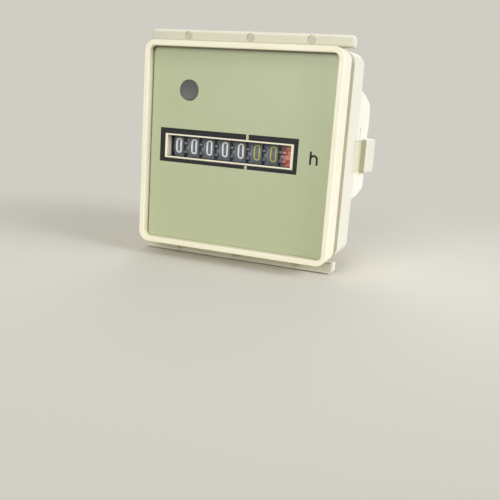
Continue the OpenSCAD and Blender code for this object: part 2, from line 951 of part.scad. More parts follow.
module lead_pair(place, step) {
    for (x = [-1, 1])
        translate([place.x + x * step / 2, place.y, board_top - lead_l])
            children();
}

module chip_leads() {
    for (i = [-1.5 : 1.5], y = [-1, 1])
        translate([chip_place.x + i * chip_pitch, chip_place.y + y * chip_rows / 2, board_top - lead_l])
            children();
}

module lamp_lead_places() {
    lead_pair([indicator_x, board_front + 2.2], lamp_leads)
        children();
}

module lead_hole() {
    translate([0, 0, -over])
        cylinder(d = lead_d + 2 * board_fit, h = lead_l + 2 * over);
}

module circuit_board() {
    color("#3c6b45")
        difference() {
            translate([-board_half, board_front, board_low])
                cube([2 * board_half, board_back - board_front, board_t]);
            lead_pair(film_place, film_leads)
                lead_hole();
            lead_pair(can_place, can_leads)
                lead_hole();
            lead_pair(resistor_place, resistor_leads)
                lead_hole();
            chip_leads()
                lead_hole();
            lamp_lead_places()
                lead_hole();
        }
}

module film_capacitor() {
    color("#b8442f")
        translate([film_place.x - film_size.x / 2, film_place.y - film_size.y / 2, board_top])
            cube(film_size);
    color("#d2d3d2")
        lead_pair(film_place, film_leads)
            cylinder(d = lead_d, h = lead_l + bite);
}

module smoothing_capacitor() {
    color("#2d3a52")
        translate([can_place.x, can_place.y, board_top])
            cylinder(d = can_d, h = can_h);
    color("#d2d3d2")
        lead_pair(can_place, can_leads)
            cylinder(d = lead_d, h = lead_l + bite);
}

module timer_chip() {
    color("#2b2b2d")
        translate([chip_place.x - chip_size.x / 2, chip_place.y - chip_size.y / 2, board_top + chip_lift])
            cube(chip_size);
    color("#d2d3d2")
        chip_leads() {
            cylinder(d = lead_d, h = lead_l + chip_lift + chip_size.z / 2);
            translate([-lead_d / 2, (chip_size.y - chip_rows) / 2, lead_l + chip_lift + chip_size.z / 2 - lead_d])
                cube([lead_d, chip_rows - chip_size.y, lead_d]);
        }
}

module dropper_resistor() {
    lift = resistor_d / 2 + 0.2;
    color("#c8a878")
        translate([resistor_place.x, resistor_place.y, board_top + lift])
            across(-resistor_l / 2, resistor_l / 2)
                circle(d = resistor_d);
    color("#d2d3d2") {
        translate([resistor_place.x, resistor_place.y, board_top + lift])
            across(-resistor_leads / 2 - lead_d / 2, resistor_leads / 2 + lead_d / 2)
                circle(d = lead_d);
        lead_pair(resistor_place, resistor_leads)
            cylinder(d = lead_d, h = lead_l + lift);
    }
}

// Round lamp that looks forward through the indicator hole, on two bent leads
module indicator_lamp() {
    lamp_r = lamp_d / 2;
    base_y = board_front + 1;
    color("#e9e9e4")
        translate([indicator_x, base_y, indicator_z])
            rotate([90, 0, 0]) {
                cylinder(r = lamp_r, h = base_y - floor_back - lamp_r - 0.2);
                translate([0, 0, base_y - floor_back - lamp_r - 0.2])
                    sphere(r = lamp_r);
            }
    color("#d2d3d2")
        lamp_lead_places() {
            cylinder(d = lead_d, h = indicator_z - board_top + lead_l + lead_d / 2);
            translate([0, 0, indicator_z - board_top + lead_l])
                rotate([90, 0, 0])
                    cylinder(d = lead_d, h = 1.2 + bite);
        }
}

module terminal_blades() {
    inner = 3;
    outer = 8;
    hole_d = 1.7;
    tip = 1.1;
    start = cup_floor - inner;
    end = cup_end + outer;
    half = blade_w / 2;
    color("#d8cfa6")
        blade_places()
            across(-blade_t / 2, blade_t / 2)
                difference() {
                    polygon([[start, -half], [end - tip, -half], [end, tip - half], [end, half - tip],
                        [end - tip, half], [start, half]]);
                    translate([cup_end + outer / 2, 0])
                        circle(d = hole_d);
                }
}

front_housing();
face_plate();
indicator_lens();
clamp_frame();
rear_cover();
cover_screws();
counter_frame();
frame_screws();
counter_shaft();
pinion_shaft();
run_wheel();
for (k = [1 : wheel_count])
    number_wheel(k);
for (k = [1 : wheel_count])
    transfer_pinion(k);
magnet_yoke();
magnet_core();
magnet_screws();
coil_former();
coil_winding();
armature();
armature_pin();
drive_pallet();
circuit_board();
film_capacitor();
smoothing_capacitor();
timer_chip();
dropper_resistor();
indicator_lamp();
terminal_blades();
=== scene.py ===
"""Looks of the panel hour meter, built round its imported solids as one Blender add-on."""

import json
import math
from contextlib import contextmanager

import bmesh
import bpy
from bpy.props import FloatProperty, FloatVectorProperty, PointerProperty
from mathutils import Matrix, Vector

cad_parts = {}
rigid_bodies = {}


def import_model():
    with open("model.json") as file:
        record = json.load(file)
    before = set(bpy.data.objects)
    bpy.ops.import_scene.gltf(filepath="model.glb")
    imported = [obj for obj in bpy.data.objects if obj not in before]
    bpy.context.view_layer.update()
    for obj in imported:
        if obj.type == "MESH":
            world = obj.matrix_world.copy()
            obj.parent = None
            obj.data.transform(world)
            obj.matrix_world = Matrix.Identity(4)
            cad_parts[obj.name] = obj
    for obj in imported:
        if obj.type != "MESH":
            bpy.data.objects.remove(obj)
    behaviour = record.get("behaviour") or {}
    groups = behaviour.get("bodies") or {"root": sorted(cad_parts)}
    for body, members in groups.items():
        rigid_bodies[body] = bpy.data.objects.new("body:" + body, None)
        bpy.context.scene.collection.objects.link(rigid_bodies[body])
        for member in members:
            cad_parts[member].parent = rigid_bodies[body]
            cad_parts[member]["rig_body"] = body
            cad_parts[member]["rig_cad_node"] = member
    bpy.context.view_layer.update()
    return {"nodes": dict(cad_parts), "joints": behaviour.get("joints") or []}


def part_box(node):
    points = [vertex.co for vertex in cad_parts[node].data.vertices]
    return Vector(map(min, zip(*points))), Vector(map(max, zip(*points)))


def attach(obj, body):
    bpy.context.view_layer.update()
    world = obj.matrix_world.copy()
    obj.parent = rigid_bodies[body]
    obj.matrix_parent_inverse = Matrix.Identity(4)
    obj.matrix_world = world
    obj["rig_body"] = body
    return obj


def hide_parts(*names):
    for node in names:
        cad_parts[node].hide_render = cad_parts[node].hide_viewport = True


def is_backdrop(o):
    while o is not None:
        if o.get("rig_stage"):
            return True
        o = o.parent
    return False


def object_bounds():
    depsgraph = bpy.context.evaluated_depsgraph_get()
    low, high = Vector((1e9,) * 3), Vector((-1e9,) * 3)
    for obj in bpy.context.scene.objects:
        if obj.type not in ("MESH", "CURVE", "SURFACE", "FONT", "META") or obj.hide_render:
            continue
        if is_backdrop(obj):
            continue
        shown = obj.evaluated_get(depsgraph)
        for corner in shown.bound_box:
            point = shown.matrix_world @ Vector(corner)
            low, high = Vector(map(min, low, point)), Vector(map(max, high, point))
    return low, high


bl_info = {
    "name": "Panel hour meter",
    "version": (1, 0, 0),
    "blender": (4, 5, 0),
    "location": "View3D > Sidebar > Hour meter",
    "description": "Dresses the solids of a square panel hour meter",
    "category": "Object",
}

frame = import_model()
NODES = frame["nodes"]

MM = 0.001
FIGURE_WHEELS = 7
YELLOW_WHEELS = 2

# Camera worked out from the bezel's edges, with the picture and its focal length in pixels
PICTURE_WIDTH = 500
FOCAL_LENGTH = 671.69
CAMERA_PLACE = (0.058846, -0.150148, 0.011626)
CAMERA_AHEAD = (-0.3388, 0.9155, -0.2170)
CAMERA_UP = (-0.1399, 0.1790, 0.9738)

# Places that the solids fix but don't name
BLADE_PLACE = 8 * MM
EAR_SPLAY = math.radians(7)
TAB_HALF_HEIGHT = 4.15 * MM
TAB_BEHIND_RING = 3.4 * MM
FLANGE = 1.6 * MM
RIM_BACK = 1.4 * MM
WHEEL_RADIUS = 7.5 * MM

# Marks along the upper and the lower strip
UPPER_MARKS = (-16.1 * MM, -0.3 * MM, 14.35 * MM)
LOWER_MARKS = (-15.4 * MM, -0.2 * MM, 14.8 * MM)

# Screws with the side of their heads along Y and a width just over that of a head
SCREWS = (("cover_screws", 1, 4.4 * MM), ("frame_screws", 1, 3.7 * MM), ("magnet_screws", -1, 3.7 * MM))

# Value bands of the resistor, by place and colour
BANDS = (
    (-2.3 * MM, (112, 64, 34)),
    (-1.2 * MM, (26, 24, 24)),
    (-0.1 * MM, (206, 98, 40)),
    (2.1 * MM, (172, 142, 60)),
)


def paint(red, green, blue):
    """A colour given as it looks on a screen, from 0 to 255, as Blender's linear values."""
    levels = []
    for level in (red, green, blue):
        share = level / 255
        levels.append(share / 12.92 if share <= 0.04045 else ((share + 0.055) / 1.055) ** 2.4)
    return tuple(levels)


def size_of(name, about, default, low, high):
    """A size that a user can change, given in millimetres."""
    return FloatProperty(name=name, description=about, default=default * MM, min=low * MM, max=high * MM,
                         unit="LENGTH")


def colour_of(name, about, red, green, blue):
    """A colour that a user can change."""
    return FloatVectorProperty(name=name, description=about, default=paint(red, green, blue), min=0, max=1,
                               subtype="COLOR")


class HourMeterSizes(bpy.types.PropertyGroup):
    """Sizes that the solids leave open"""

    lip_round: size_of("Lip rounding", "Rounding of the bezel's front edges", 0.24, 0.05, 0.6)
    strip_round: size_of("Strip rounding", "Rounding of the pressing strips", 0.55, 0.1, 0.6)
    strip_reach: size_of("Strip overhang", "How much further the strips reach to the left", 0.5, 0, 1)
    ring_round: size_of("Ring rounding", "Rounding of the clamp ring and its ears", 0.22, 0.05, 0.4)
    ring_front: size_of("Ring front", "Place of the ring's front edge behind the panel seat", 3.3, 2, 5)
    ring_back: size_of("Ring back", "Place of the ring's rear edge, where the ears begin", 13.3, 10, 16)
    ring_corner: size_of("Ring corner", "Corner radius of the clamp ring", 2.8, 2, 5)
    tab_round: size_of("Tab rounding", "Rounding of the finger tabs", 0.42, 0.1, 0.6)
    moulding_round: size_of("Moulding rounding", "Rounding of the other moulded edges", 0.16, 0.02, 0.4)
    rim_slim: size_of("Rim slimming", "How much slimmer the long bars of the window rim are", 0.2, 0, 0.3)
    figure_height: size_of("Figure height", "Height of a figure on a wheel", 3.8, 2, 4.4)
    figure_width: size_of("Figure width", "Width of a figure on a wheel", 1.58, 1, 2.2)
    stroke: size_of("Stroke", "Stroke width of the white figures", 0.46, 0.2, 0.7)
    thin_stroke: size_of("Thin stroke", "Stroke width of the yellow figures", 0.34, 0.15, 0.6)
    ink: size_of("Ink", "Height of printing above its surface", 0.03, 0.01, 0.08)
    border_left: size_of("Border left", "Left edge of the printed border", -19.93, -22, -19)
    border_right: size_of("Border right", "Right edge of the printed border", 14.81, 14.4, 17)
    border_low: size_of("Border bottom", "Lower edge of the printed border", -4.06, -6, -3.6)
    border_high: size_of("Border top", "Upper edge of the printed border", 3.95, 3.2, 6)
    break_place: size_of("Border break", "Place of the break that marks the decimal wheels", 2.45, -10, 10)
    break_width: size_of("Break width", "Width of that break", 0.65, 0.2, 2)


class HourMeterColours(bpy.types.PropertyGroup):
    """Colours of the main finishes"""

    case: colour_of("Case", "Cream of the bezel and body", 240, 235, 212)
    clamp: colour_of("Clamp", "Paler cream of the clamp frame", 229, 227, 209)
    face: colour_of("Face", "Grey green of the face plate", 180, 187, 151)
    print: colour_of("Print", "Near black of the printed marks", 24, 25, 29)
    wheel: colour_of("Wheels", "Charcoal of the number wheels", 114, 118, 124)
    run: colour_of("Run wheel", "Red of the run wheel", 228, 150, 138)
    figure: colour_of("Figures", "White of the hour figures", 250, 251, 252)
    decimal: colour_of("Decimal figures", "Yellow of the decimal figures", 214, 208, 112)
    backdrop: colour_of("Backdrop", "Even colour behind the part", 208, 205, 196)


def sizes():
    return bpy.context.scene.hour_meter_sizes


def colours():
    return bpy.context.scene.hour_meter_colours


class Signal:
    """A number on its way through a material. Arithmetic on it adds Math nodes."""

    def __init__(self, tree, socket):
        self.tree = tree
        self.socket = socket

    def reckon(self, operation, *values):
        node = self.tree.nodes.new("ShaderNodeMath")
        node.operation = operation
        for slot, value in zip(node.inputs, values):
            if isinstance(value, Signal):
                self.tree.links.new(value.socket, slot)
            else:
                slot.default_value = value
        return Signal(self.tree, node.outputs[0])

    def __add__(self, other):
        return self.reckon("ADD", self, other)

    def __mul__(self, other):
        return self.reckon("MULTIPLY", self, other)

    def __sub__(self, other):
        return self.reckon("SUBTRACT", self, other)

    def __rsub__(self, other):
        return self.reckon("SUBTRACT", other, self)

    def __abs__(self):
        return self.reckon("ABSOLUTE", self)

    def root(self):
        return self.reckon("SQRT", self)

    def between(self, low, high):
        """Rise smoothly from 0 at low to 1 at high."""
        node = self.tree.nodes.new("ShaderNodeMapRange")
        node.interpolation_type = "SMOOTHSTEP"
        self.tree.links.new(self.socket, node.inputs["Value"])
        node.inputs["From Min"].default_value = low
        node.inputs["From Max"].default_value = high
        return Signal(self.tree, node.outputs["Result"])


class Finish:
    """One material on Object coordinates, begun by its name or gone on with."""

    def __init__(self, material):
        if isinstance(material, str):
            material = bpy.data.materials.new(material)
            material.use_nodes = True
        self.material = material
        self.tree = material.node_tree
        self.surface = self.tree.nodes["Principled BSDF"]
        self.place = self.node("ShaderNodeTexCoord").outputs["Object"]

    def overlay(self, share, colour):
        """Lay another colour over the base colour so far."""
        plain = self.surface.inputs["Base Color"].links[0].from_socket
        self.set(base_color=self.mix(share, plain, colour))

    def node(self, kind, settings=None, values=None):
        """Add a node: its settings first, then the values or links of its sockets."""
        made = self.tree.nodes.new(kind)
        for name, value in (settings or {}).items():
            setattr(made, name, value)
        for name, value in (values or {}).items():
            self.feed(made.inputs[name], value)
        return made

    def feed(self, socket, value):
        if isinstance(value, Signal):
            value = value.socket
        if isinstance(value, bpy.types.NodeSocket):
            self.tree.links.new(value, socket)
        elif socket.type == "RGBA" and len(value) == 3:
            socket.default_value = (*value, 1)
        else:
            socket.default_value = value

    def axes(self):
        parts = self.node("ShaderNodeSeparateXYZ", None, {"Vector": self.place})
        return [Signal(self.tree, parts.outputs[name]) for name in "XYZ"]

    def noise(self, grain, detail=2.0, stretch=(1, 1, 1), rough=0.5):
        """Noise with features about grain metres across, stretched along the axes."""
        spread = self.node("ShaderNodeMapping", None, {
            "Vector": self.place, "Scale": tuple(1 / (grain * s) for s in stretch)})
        made = self.node("ShaderNodeTexNoise", None, {
            "Vector": spread.outputs["Vector"], "Scale": 1.0, "Detail": detail, "Roughness": rough})
        return Signal(self.tree, made.outputs["Fac"])

    def mix(self, share, first, second):
        made = self.node("ShaderNodeMix", {"data_type": "RGBA"})
        self.feed(made.inputs[0], share)
        self.feed(made.inputs[6], first)
        self.feed(made.inputs[7], second)
        return made.outputs[2]

    def bump(self, height, depth, strength=1.0):
        made = self.node("ShaderNodeBump", None, {"Height": height, "Distance": depth, "Strength": strength})
        self.feed(self.surface.inputs["Normal"], made.outputs["Normal"])

    def set(self, **values):
        for name, value in values.items():
            self.feed(self.surface.inputs[name.replace("_", " ").title()], value)
        return self.material


def shade(colour, share):
    return tuple(level * share for level in colour)


def tint(colour, other, share):
    return tuple(a + (b - a) * share for a, b in zip(colour, other))


def moulded_plastic(name, colour, rough=0.42, texture=0.12 * MM, depth=0.004 * MM, age=0.5):
    """Injection-moulded plastic: a fine spark texture, cloudy ageing, flow marks and light scuffs."""
    finish = Finish(name)
    cloud = finish.noise(7 * MM, 4).between(0.38, 0.72)
    flow = finish.noise(1.6 * MM, 3, (6, 1, 1)).between(0.4, 0.75)
    speck = finish.noise(0.22 * MM, 2).between(0.66, 0.74)
    scuff = finish.noise(0.5 * MM, 4, (1, 9, 1.5)).between(0.62, 0.72)
    aged = tint(colour, (colour[0] * 0.93, colour[1] * 0.88, colour[2] * 0.74), age)
    base = finish.mix(cloud * 0.55, colour, aged)
    base = finish.mix(flow * 0.10, base, shade(colour, 0.86))
    base = finish.mix(speck * 0.14, base, shade(colour, 0.6))
    base = finish.mix(scuff * 0.16, base, tint(colour, (1, 1, 1), 0.5))
    grain = finish.noise(texture, 3)
    finish.bump(grain + flow * 0.4 + scuff * 0.8, depth)
    return finish.set(base_color=base, roughness=cloud * 0.10 + scuff * 0.12 + (rough - 0.05))


def printed_plate(name, colour):
    """Lacquered face plate: a fine speckled ground, faint rubbing and dust, with painted shade darkening it
    towards its upper edge under the lip.
    """
    finish = Finish(name)
    cloud = finish.noise(9 * MM, 3).between(0.35, 0.7)
    speckle = finish.noise(0.16 * MM, 3)
    rub = finish.noise(1.4 * MM, 4, (1, 1, 5)).between(0.58, 0.8)
    dust = finish.noise(0.3 * MM, 1).between(0.77, 0.81)
    base = finish.mix(cloud * 0.3, colour, tint(colour, paint(172, 180, 142), 0.7))
    base = finish.mix(speckle.between(0.35, 0.68) * 0.12, base, shade(colour, 0.86))
    base = finish.mix(rub * 0.06, base, tint(colour, (0.85, 0.86, 0.78), 0.5))
    base = finish.mix(dust * 0.2, base, paint(226, 226, 210))
    x, y, z = finish.axes()
    # Painted shade: the plate grows darker towards its upper edge, where the lip above shades it.
    edge = z.between(17 * MM, 22.5 * MM)
    base = finish.mix(edge * 0.5, base, shade(colour, 0.72))
    finish.bump(speckle + rub * 0.5, 0.003 * MM)
    return finish.set(base_color=base, roughness=cloud * 0.08 + rub * 0.08 + 0.36)


def printing_ink(name, colour, rough=0.5):
    """Screen-printed ink with pinholes and an uneven film."""
    finish = Finish(name)
    film = finish.noise(0.5 * MM, 3)
    pinhole = finish.noise(0.09 * MM, 1).between(0.74, 0.8)
    base = finish.mix(film.between(0.3, 0.7) * 0.35, colour, tint(colour, (0.5, 0.5, 0.5), 0.07))
    base = finish.mix(pinhole * 0.3, base, tint(colour, (0.5, 0.5, 0.5), 0.25))
    finish.bump(film, 0.002 * MM)
    finish.surface.inputs["Specular IOR Level"].default_value = 0.25
    return finish.set(base_color=base, roughness=film * 0.16 + (rough - 0.08))


def plated_metal(name, colour, rough=0.3, lines=(1, 1, 12), tarnish=0.35):
    """Plated or bare metal: fine drawing lines, cloudy plating and dull spots."""
    finish = Finish(name)
    drawn = finish.noise(0.12 * MM, 3, lines)
    cloud = finish.noise(2.5 * MM, 4).between(0.4, 0.72)
    spot = finish.noise(0.6 * MM, 2).between(0.64, 0.74)
    base = finish.mix(cloud * 0.4, colour, shade(colour, 1 - 0.5 * tarnish))
    base = finish.mix(spot * tarnish * 0.5, base, shade(tint(colour, (0.5, 0.45, 0.36), 0.5), 0.8))
    finish.bump(drawn, 0.003 * MM)
    return finish.set(base_color=base, metallic=0.92, roughness=drawn * 0.14 + cloud * 0.12 + (rough - 0.08))


def smoked_lens(name, colour):
    """Smoked plastic disc with moulding swirl, and painted shade darkening it towards its top and left."""
    finish = Finish(name)
    swirl = finish.noise(1.4 * MM, 3, (1, 1, 2)).between(0.35, 0.7)
    fine = finish.noise(0.1 * MM, 2)
    x, y, z = finish.axes()
    low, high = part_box("indicator_lens")
    # Painted shade: the disc is darker towards its top and left, where the rim of its hole shades it.
    depth = (z + x * -0.35).between(low.z * 1.02 - low.x * 0.35, high.z - high.x * 0.35)
    base = finish.mix(depth, colour, shade(colour, 0.72))
    base = finish.mix(swirl * 0.25, base, shade(colour, 0.85))
    finish.bump(fine, 0.002 * MM)
    finish.surface.inputs["Specular IOR Level"].default_value = 0.3
    return finish.set(base_color=base, roughness=swirl * 0.1 + 0.3, coat_weight=0.1)


def clear_selection():
    if bpy.context.mode != "OBJECT":
        bpy.ops.object.mode_set(mode="OBJECT")
    bpy.ops.object.select_all(action="DESELECT")


def pick(piece):
    clear_selection()
    piece.select_set(True)
    bpy.context.view_layer.objects.active = piece


@contextmanager
def editing(piece):
    """Work on one piece alone in edit mode."""
    pick(piece)
    bpy.ops.object.mode_set(mode="EDIT")
    yield
    bpy.ops.object.mode_set(mode="OBJECT")


def name_piece(piece, name):
    piece.name = name
    piece.data.name = name
    return piece


def start_piece(name):
    """Name the primitive that was just added and put its place into its mesh."""
    piece = name_piece(bpy.context.active_object, name)
    bpy.ops.object.transform_apply(location=True, rotation=True, scale=True)
    return piece


def copy_to(piece, place):
    """A copy of a piece with a mesh of its own, moved by a given way."""
    pick(piece)
    bpy.ops.object.duplicate()
    made = bpy.context.view_layer.objects.active
    made.location = place
    bpy.ops.object.transform_apply(location=True, rotation=True, scale=True)
    return made


def apply_last(piece):
    """Apply the modifier that was added last."""
    bpy.ops.object.modifier_apply(modifier=piece.modifiers[-1].name)


def wear(piece, material):
    piece.data.materials.clear()
    piece.data.materials.append(material)


def settle(piece, body, material, replaced=()):
    """Give a finished piece its material, slot and body, with its place in its mesh."""
    pick(piece)
    bpy.ops.object.transform_apply(location=True, rotation=True, scale=True)
    wear(piece, material)
    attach(piece, body)
    if replaced:
        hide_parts(*replaced)
    return piece


def smooth(piece, degrees=35):
    """Shade rounded edges smoothly, and keep the flats between them flat."""
    pick(piece)
    bpy.ops.object.shade_smooth_by_angle(angle=math.radians(degrees))
    bpy.ops.object.modifier_add(type="WEIGHTED_NORMAL")
    piece.modifiers[-1].keep_sharp = True
    piece.modifiers[-1].weight = 100
    apply_last(piece)


def copy_solid(node, name):
    """A merged copy of a solid, with its flat faces whole, ready for softer edges."""
    pick(NODES[node])
    bpy.ops.object.duplicate()
    piece = name_piece(bpy.context.view_layer.objects.active, name)
    piece.parent = None
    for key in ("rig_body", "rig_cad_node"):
        del piece[key]
    bpy.ops.mesh.customdata_custom_splitnormals_clear()
    with editing(piece):
        bpy.ops.mesh.select_all(action="SELECT")
        bpy.ops.mesh.remove_doubles(threshold=0.002 * MM)
        bpy.ops.mesh.dissolve_limited(angle_limit=math.radians(0.3))
        bpy.ops.mesh.select_all(action="DESELECT")
    return piece


def select_parts(piece, kind, test):
    """In edit mode, select only the points, edges or faces that pass the test."""
    bpy.ops.mesh.select_mode(type=kind)
    bpy.ops.mesh.select_all(action="DESELECT")
    work = bmesh.from_edit_mesh(piece.data)
    parts = {"VERT": work.verts, "EDGE": work.edges, "FACE": work.faces}[kind]
    chosen = [part for part in parts if test(part)]
    if not chosen:
        raise RuntimeError("nothing of " + piece.name + " to shape")
    for part in chosen:
        part.select_set(True)
    bmesh.update_edit_mesh(piece.data)


def round_edges(piece, test, width, segments, clamp=False):
    """Bevel the edges that pass the test."""
    with editing(piece):
        select_parts(piece, "EDGE", test)
        bpy.ops.mesh.bevel(offset=width, segments=segments, affect="EDGES", clamp_overlap=clamp)


def soften(piece, width, where, segments=3, sharp=35, clamp=False):
    """Bevel the sharp outer edges whose two ends pass the test."""
    least = math.radians(sharp)

    def chosen(edge):
        if not edge.is_convex or edge.calc_face_angle(0) < least:
            return False
        return all(where(end.co) for end in edge.verts)

    round_edges(piece, chosen, width, segments, clamp)


def dress(node, body, material, width, where=lambda p: True, segments=2):
    """Replace an inner solid by a copy with softened edges."""
    piece = copy_solid(node, "soft_" + node)
    soften(piece, width, where, segments, 50, True)
    smooth(piece)
    return settle(piece, body, material, (node,))


def shift_points(piece, test, move):
    """Move the points of a piece that pass the test."""
    with editing(piece):
        select_parts(piece, "VERT", lambda point: test(point.co))
        bpy.ops.transform.translate(value=move)


def near(value, target, reach=0.02 * MM):
    return abs(value - target) < reach


def add_box(name, low, high):
    """A box between two corners, as a start for shaping."""
    clear_selection()
    low = Vector(low)
    high = Vector(high)
    bpy.ops.mesh.primitive_cube_add(size=1, location=(low + high) / 2)
    bpy.context.active_object.scale = high - low
    return start_piece(name)


def join(pieces, name):
    clear_selection()
    for piece in pieces:
        piece.select_set(True)
    bpy.context.view_layer.objects.active = pieces[0]
    bpy.ops.object.join()
    return name_piece(bpy.context.active_object, name)


def cut(piece, cutter):
    """Take the cutter's shape out of a piece."""
    pick(piece)
    bpy.ops.object.modifier_add(type="BOOLEAN")
    cutting = piece.modifiers[-1]
    cutting.operation = "DIFFERENCE"
    cutting.solver = "EXACT"
    cutting.object = cutter
    apply_last(piece)
    bpy.data.objects.remove(cutter)
    if not piece.data.vertices:
        raise RuntimeError("nothing is left of " + piece.name)


def gather(points, reach):
    """Group points that lie close together and return the middle of each group."""
    groups = []
    for point in points:
        for group in groups:
            if (group[0] - point).length < reach:
                group.append(point)
                break
        else:
            groups.append([point])
    return [sum(group, Vector()) / len(group) for group in groups]


class MESH_OT_hour_meter_case(bpy.types.Operator):
    """Round the bezel, window rim and rear cover as moulded"""

    bl_idname = "mesh.hour_meter_case"
    bl_label = "Case"

    def execute(self, context):
        size = sizes()
        cream = self.case_finish(colours().case)
        low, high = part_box("front_housing")
        front_y = low.y
        half = high.x
        plate_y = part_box("face_plate")[0].y
        housing = copy_solid("front_housing", "housing")
        self.thin_rim(housing, size, plate_y)
        soften(housing, size.lip_round, lambda p: near(p.y, front_y), 5)
        soften(housing, size.moulding_round,
               lambda p: near(p.y, 0) and max(abs(p.x), abs(p.z)) > half - 3 * MM, 3)
        soften(housing, size.moulding_round * 0.3,
               lambda p: front_y < p.y < plate_y and max(abs(p.x), abs(p.z)) < half - 4 * MM, 2)
        smooth(housing)
        settle(housing, "case", cream, ("front_housing",))
        cover = copy_solid("rear_cover", "back_cover")
        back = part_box("rear_cover")[1].y
        soften(cover, 0.7 * MM,
               lambda p: near(p.y, back) and (abs(p.z) > 8 * MM or abs(p.x) > 14 * MM), 4)
        flange = high.y + FLANGE
        soften(cover, size.moulding_round * 1.6,
               lambda p: near(p.y, flange) and max(abs(p.x), abs(p.z)) > 21 * MM, 3)
        smooth(cover)
        settle(cover, "case", cream, ("rear_cover",))
        settle(self.collars(back), "case", cream)
        return {"FINISHED"}

    def collars(self, back):
        """Raised collars round the two blades, each with a sunk middle."""
        low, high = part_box("terminal_blades")
        half = 1.9 * MM
        border = 1.5 * MM
        collar = add_box("collar", (-BLADE_PLACE - half, back - 0.1 * MM, low.z - border),
                         (-BLADE_PLACE + half, back + 0.9 * MM, high.z + border))
        with editing(collar):
            select_parts(collar, "FACE", lambda face: face.normal.y > 0.9)
            bpy.ops.mesh.inset(thickness=0.75 * MM)
            bpy.ops.mesh.extrude_region_move(TRANSFORM_OT_translate={"value": (0, -0.6 * MM, 0)})
        soften(collar, 0.2 * MM, lambda p: p.y > back, 3, 60)
        smooth(collar)
        return join([collar, copy_to(collar, (2 * BLADE_PLACE, 0, 0))], "blade_collars")

    def case_finish(self, colour):
        """Cream plastic, with painted shade in the groove behind the bezel and a painted shadow in the corner
        above the plate, under the lip.
        """
        finish = Finish(moulded_plastic("cream moulding", colour))
        x, y, z = finish.axes()
        # Painted shade: the groove behind the bezel, which the bezel shades, is darkened to a deep yellowish
        # tone.
        groove = y.between(-0.02 * MM, 0.12 * MM) * (1 - y.between(1.2 * MM, 3.8 * MM))
        finish.overlay(groove * 0.8, paint(140, 127, 74))
        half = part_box("front_housing")[1].x
        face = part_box("face_plate")[0].y
        corner = y.between(face - 1.1 * MM, face - 0.2 * MM)
        corner = corner * (1 - y.between(face + 0.2 * MM, face + 0.3 * MM))
        near_wall = (half - 2.6 * MM, half - 1.8 * MM)
        edges = z.between(*near_wall) + (x * -1).between(*near_wall) * 0.35
        outer = x.reckon("MAXIMUM", abs(x), abs(z)).between(half - 1.15 * MM, half - 0.9 * MM)
        # Painted shadow: a dark line in the corner above the plate, under the lip's upper wall and weaker
        # under its left wall.
        lip_corner_shadow = corner * (1 - outer) * edges.reckon("MINIMUM", edges, 1.0)
        finish.overlay(lip_corner_shadow * 0.85, paint(66, 58, 30))
        return finish.material

    def thin_rim(self, housing, size, face_y):
        """Make the upper and lower bars of the window rim slimmer than the uprights."""
        reach = 20 * MM
        rim = [v.co.z for v in housing.data.vertices
               if near(v.co.y, face_y - 0.15 * MM, 0.1 * MM) and abs(v.co.x) < reach]
        for edge, side in ((max(rim), -1), (min(rim), 1)):
            shift_points(housing,
                         lambda p: near(p.z, edge) and p.y < face_y + 0.7 * MM and abs(p.x) < reach,
                         (0, 0, side * size.rim_slim))


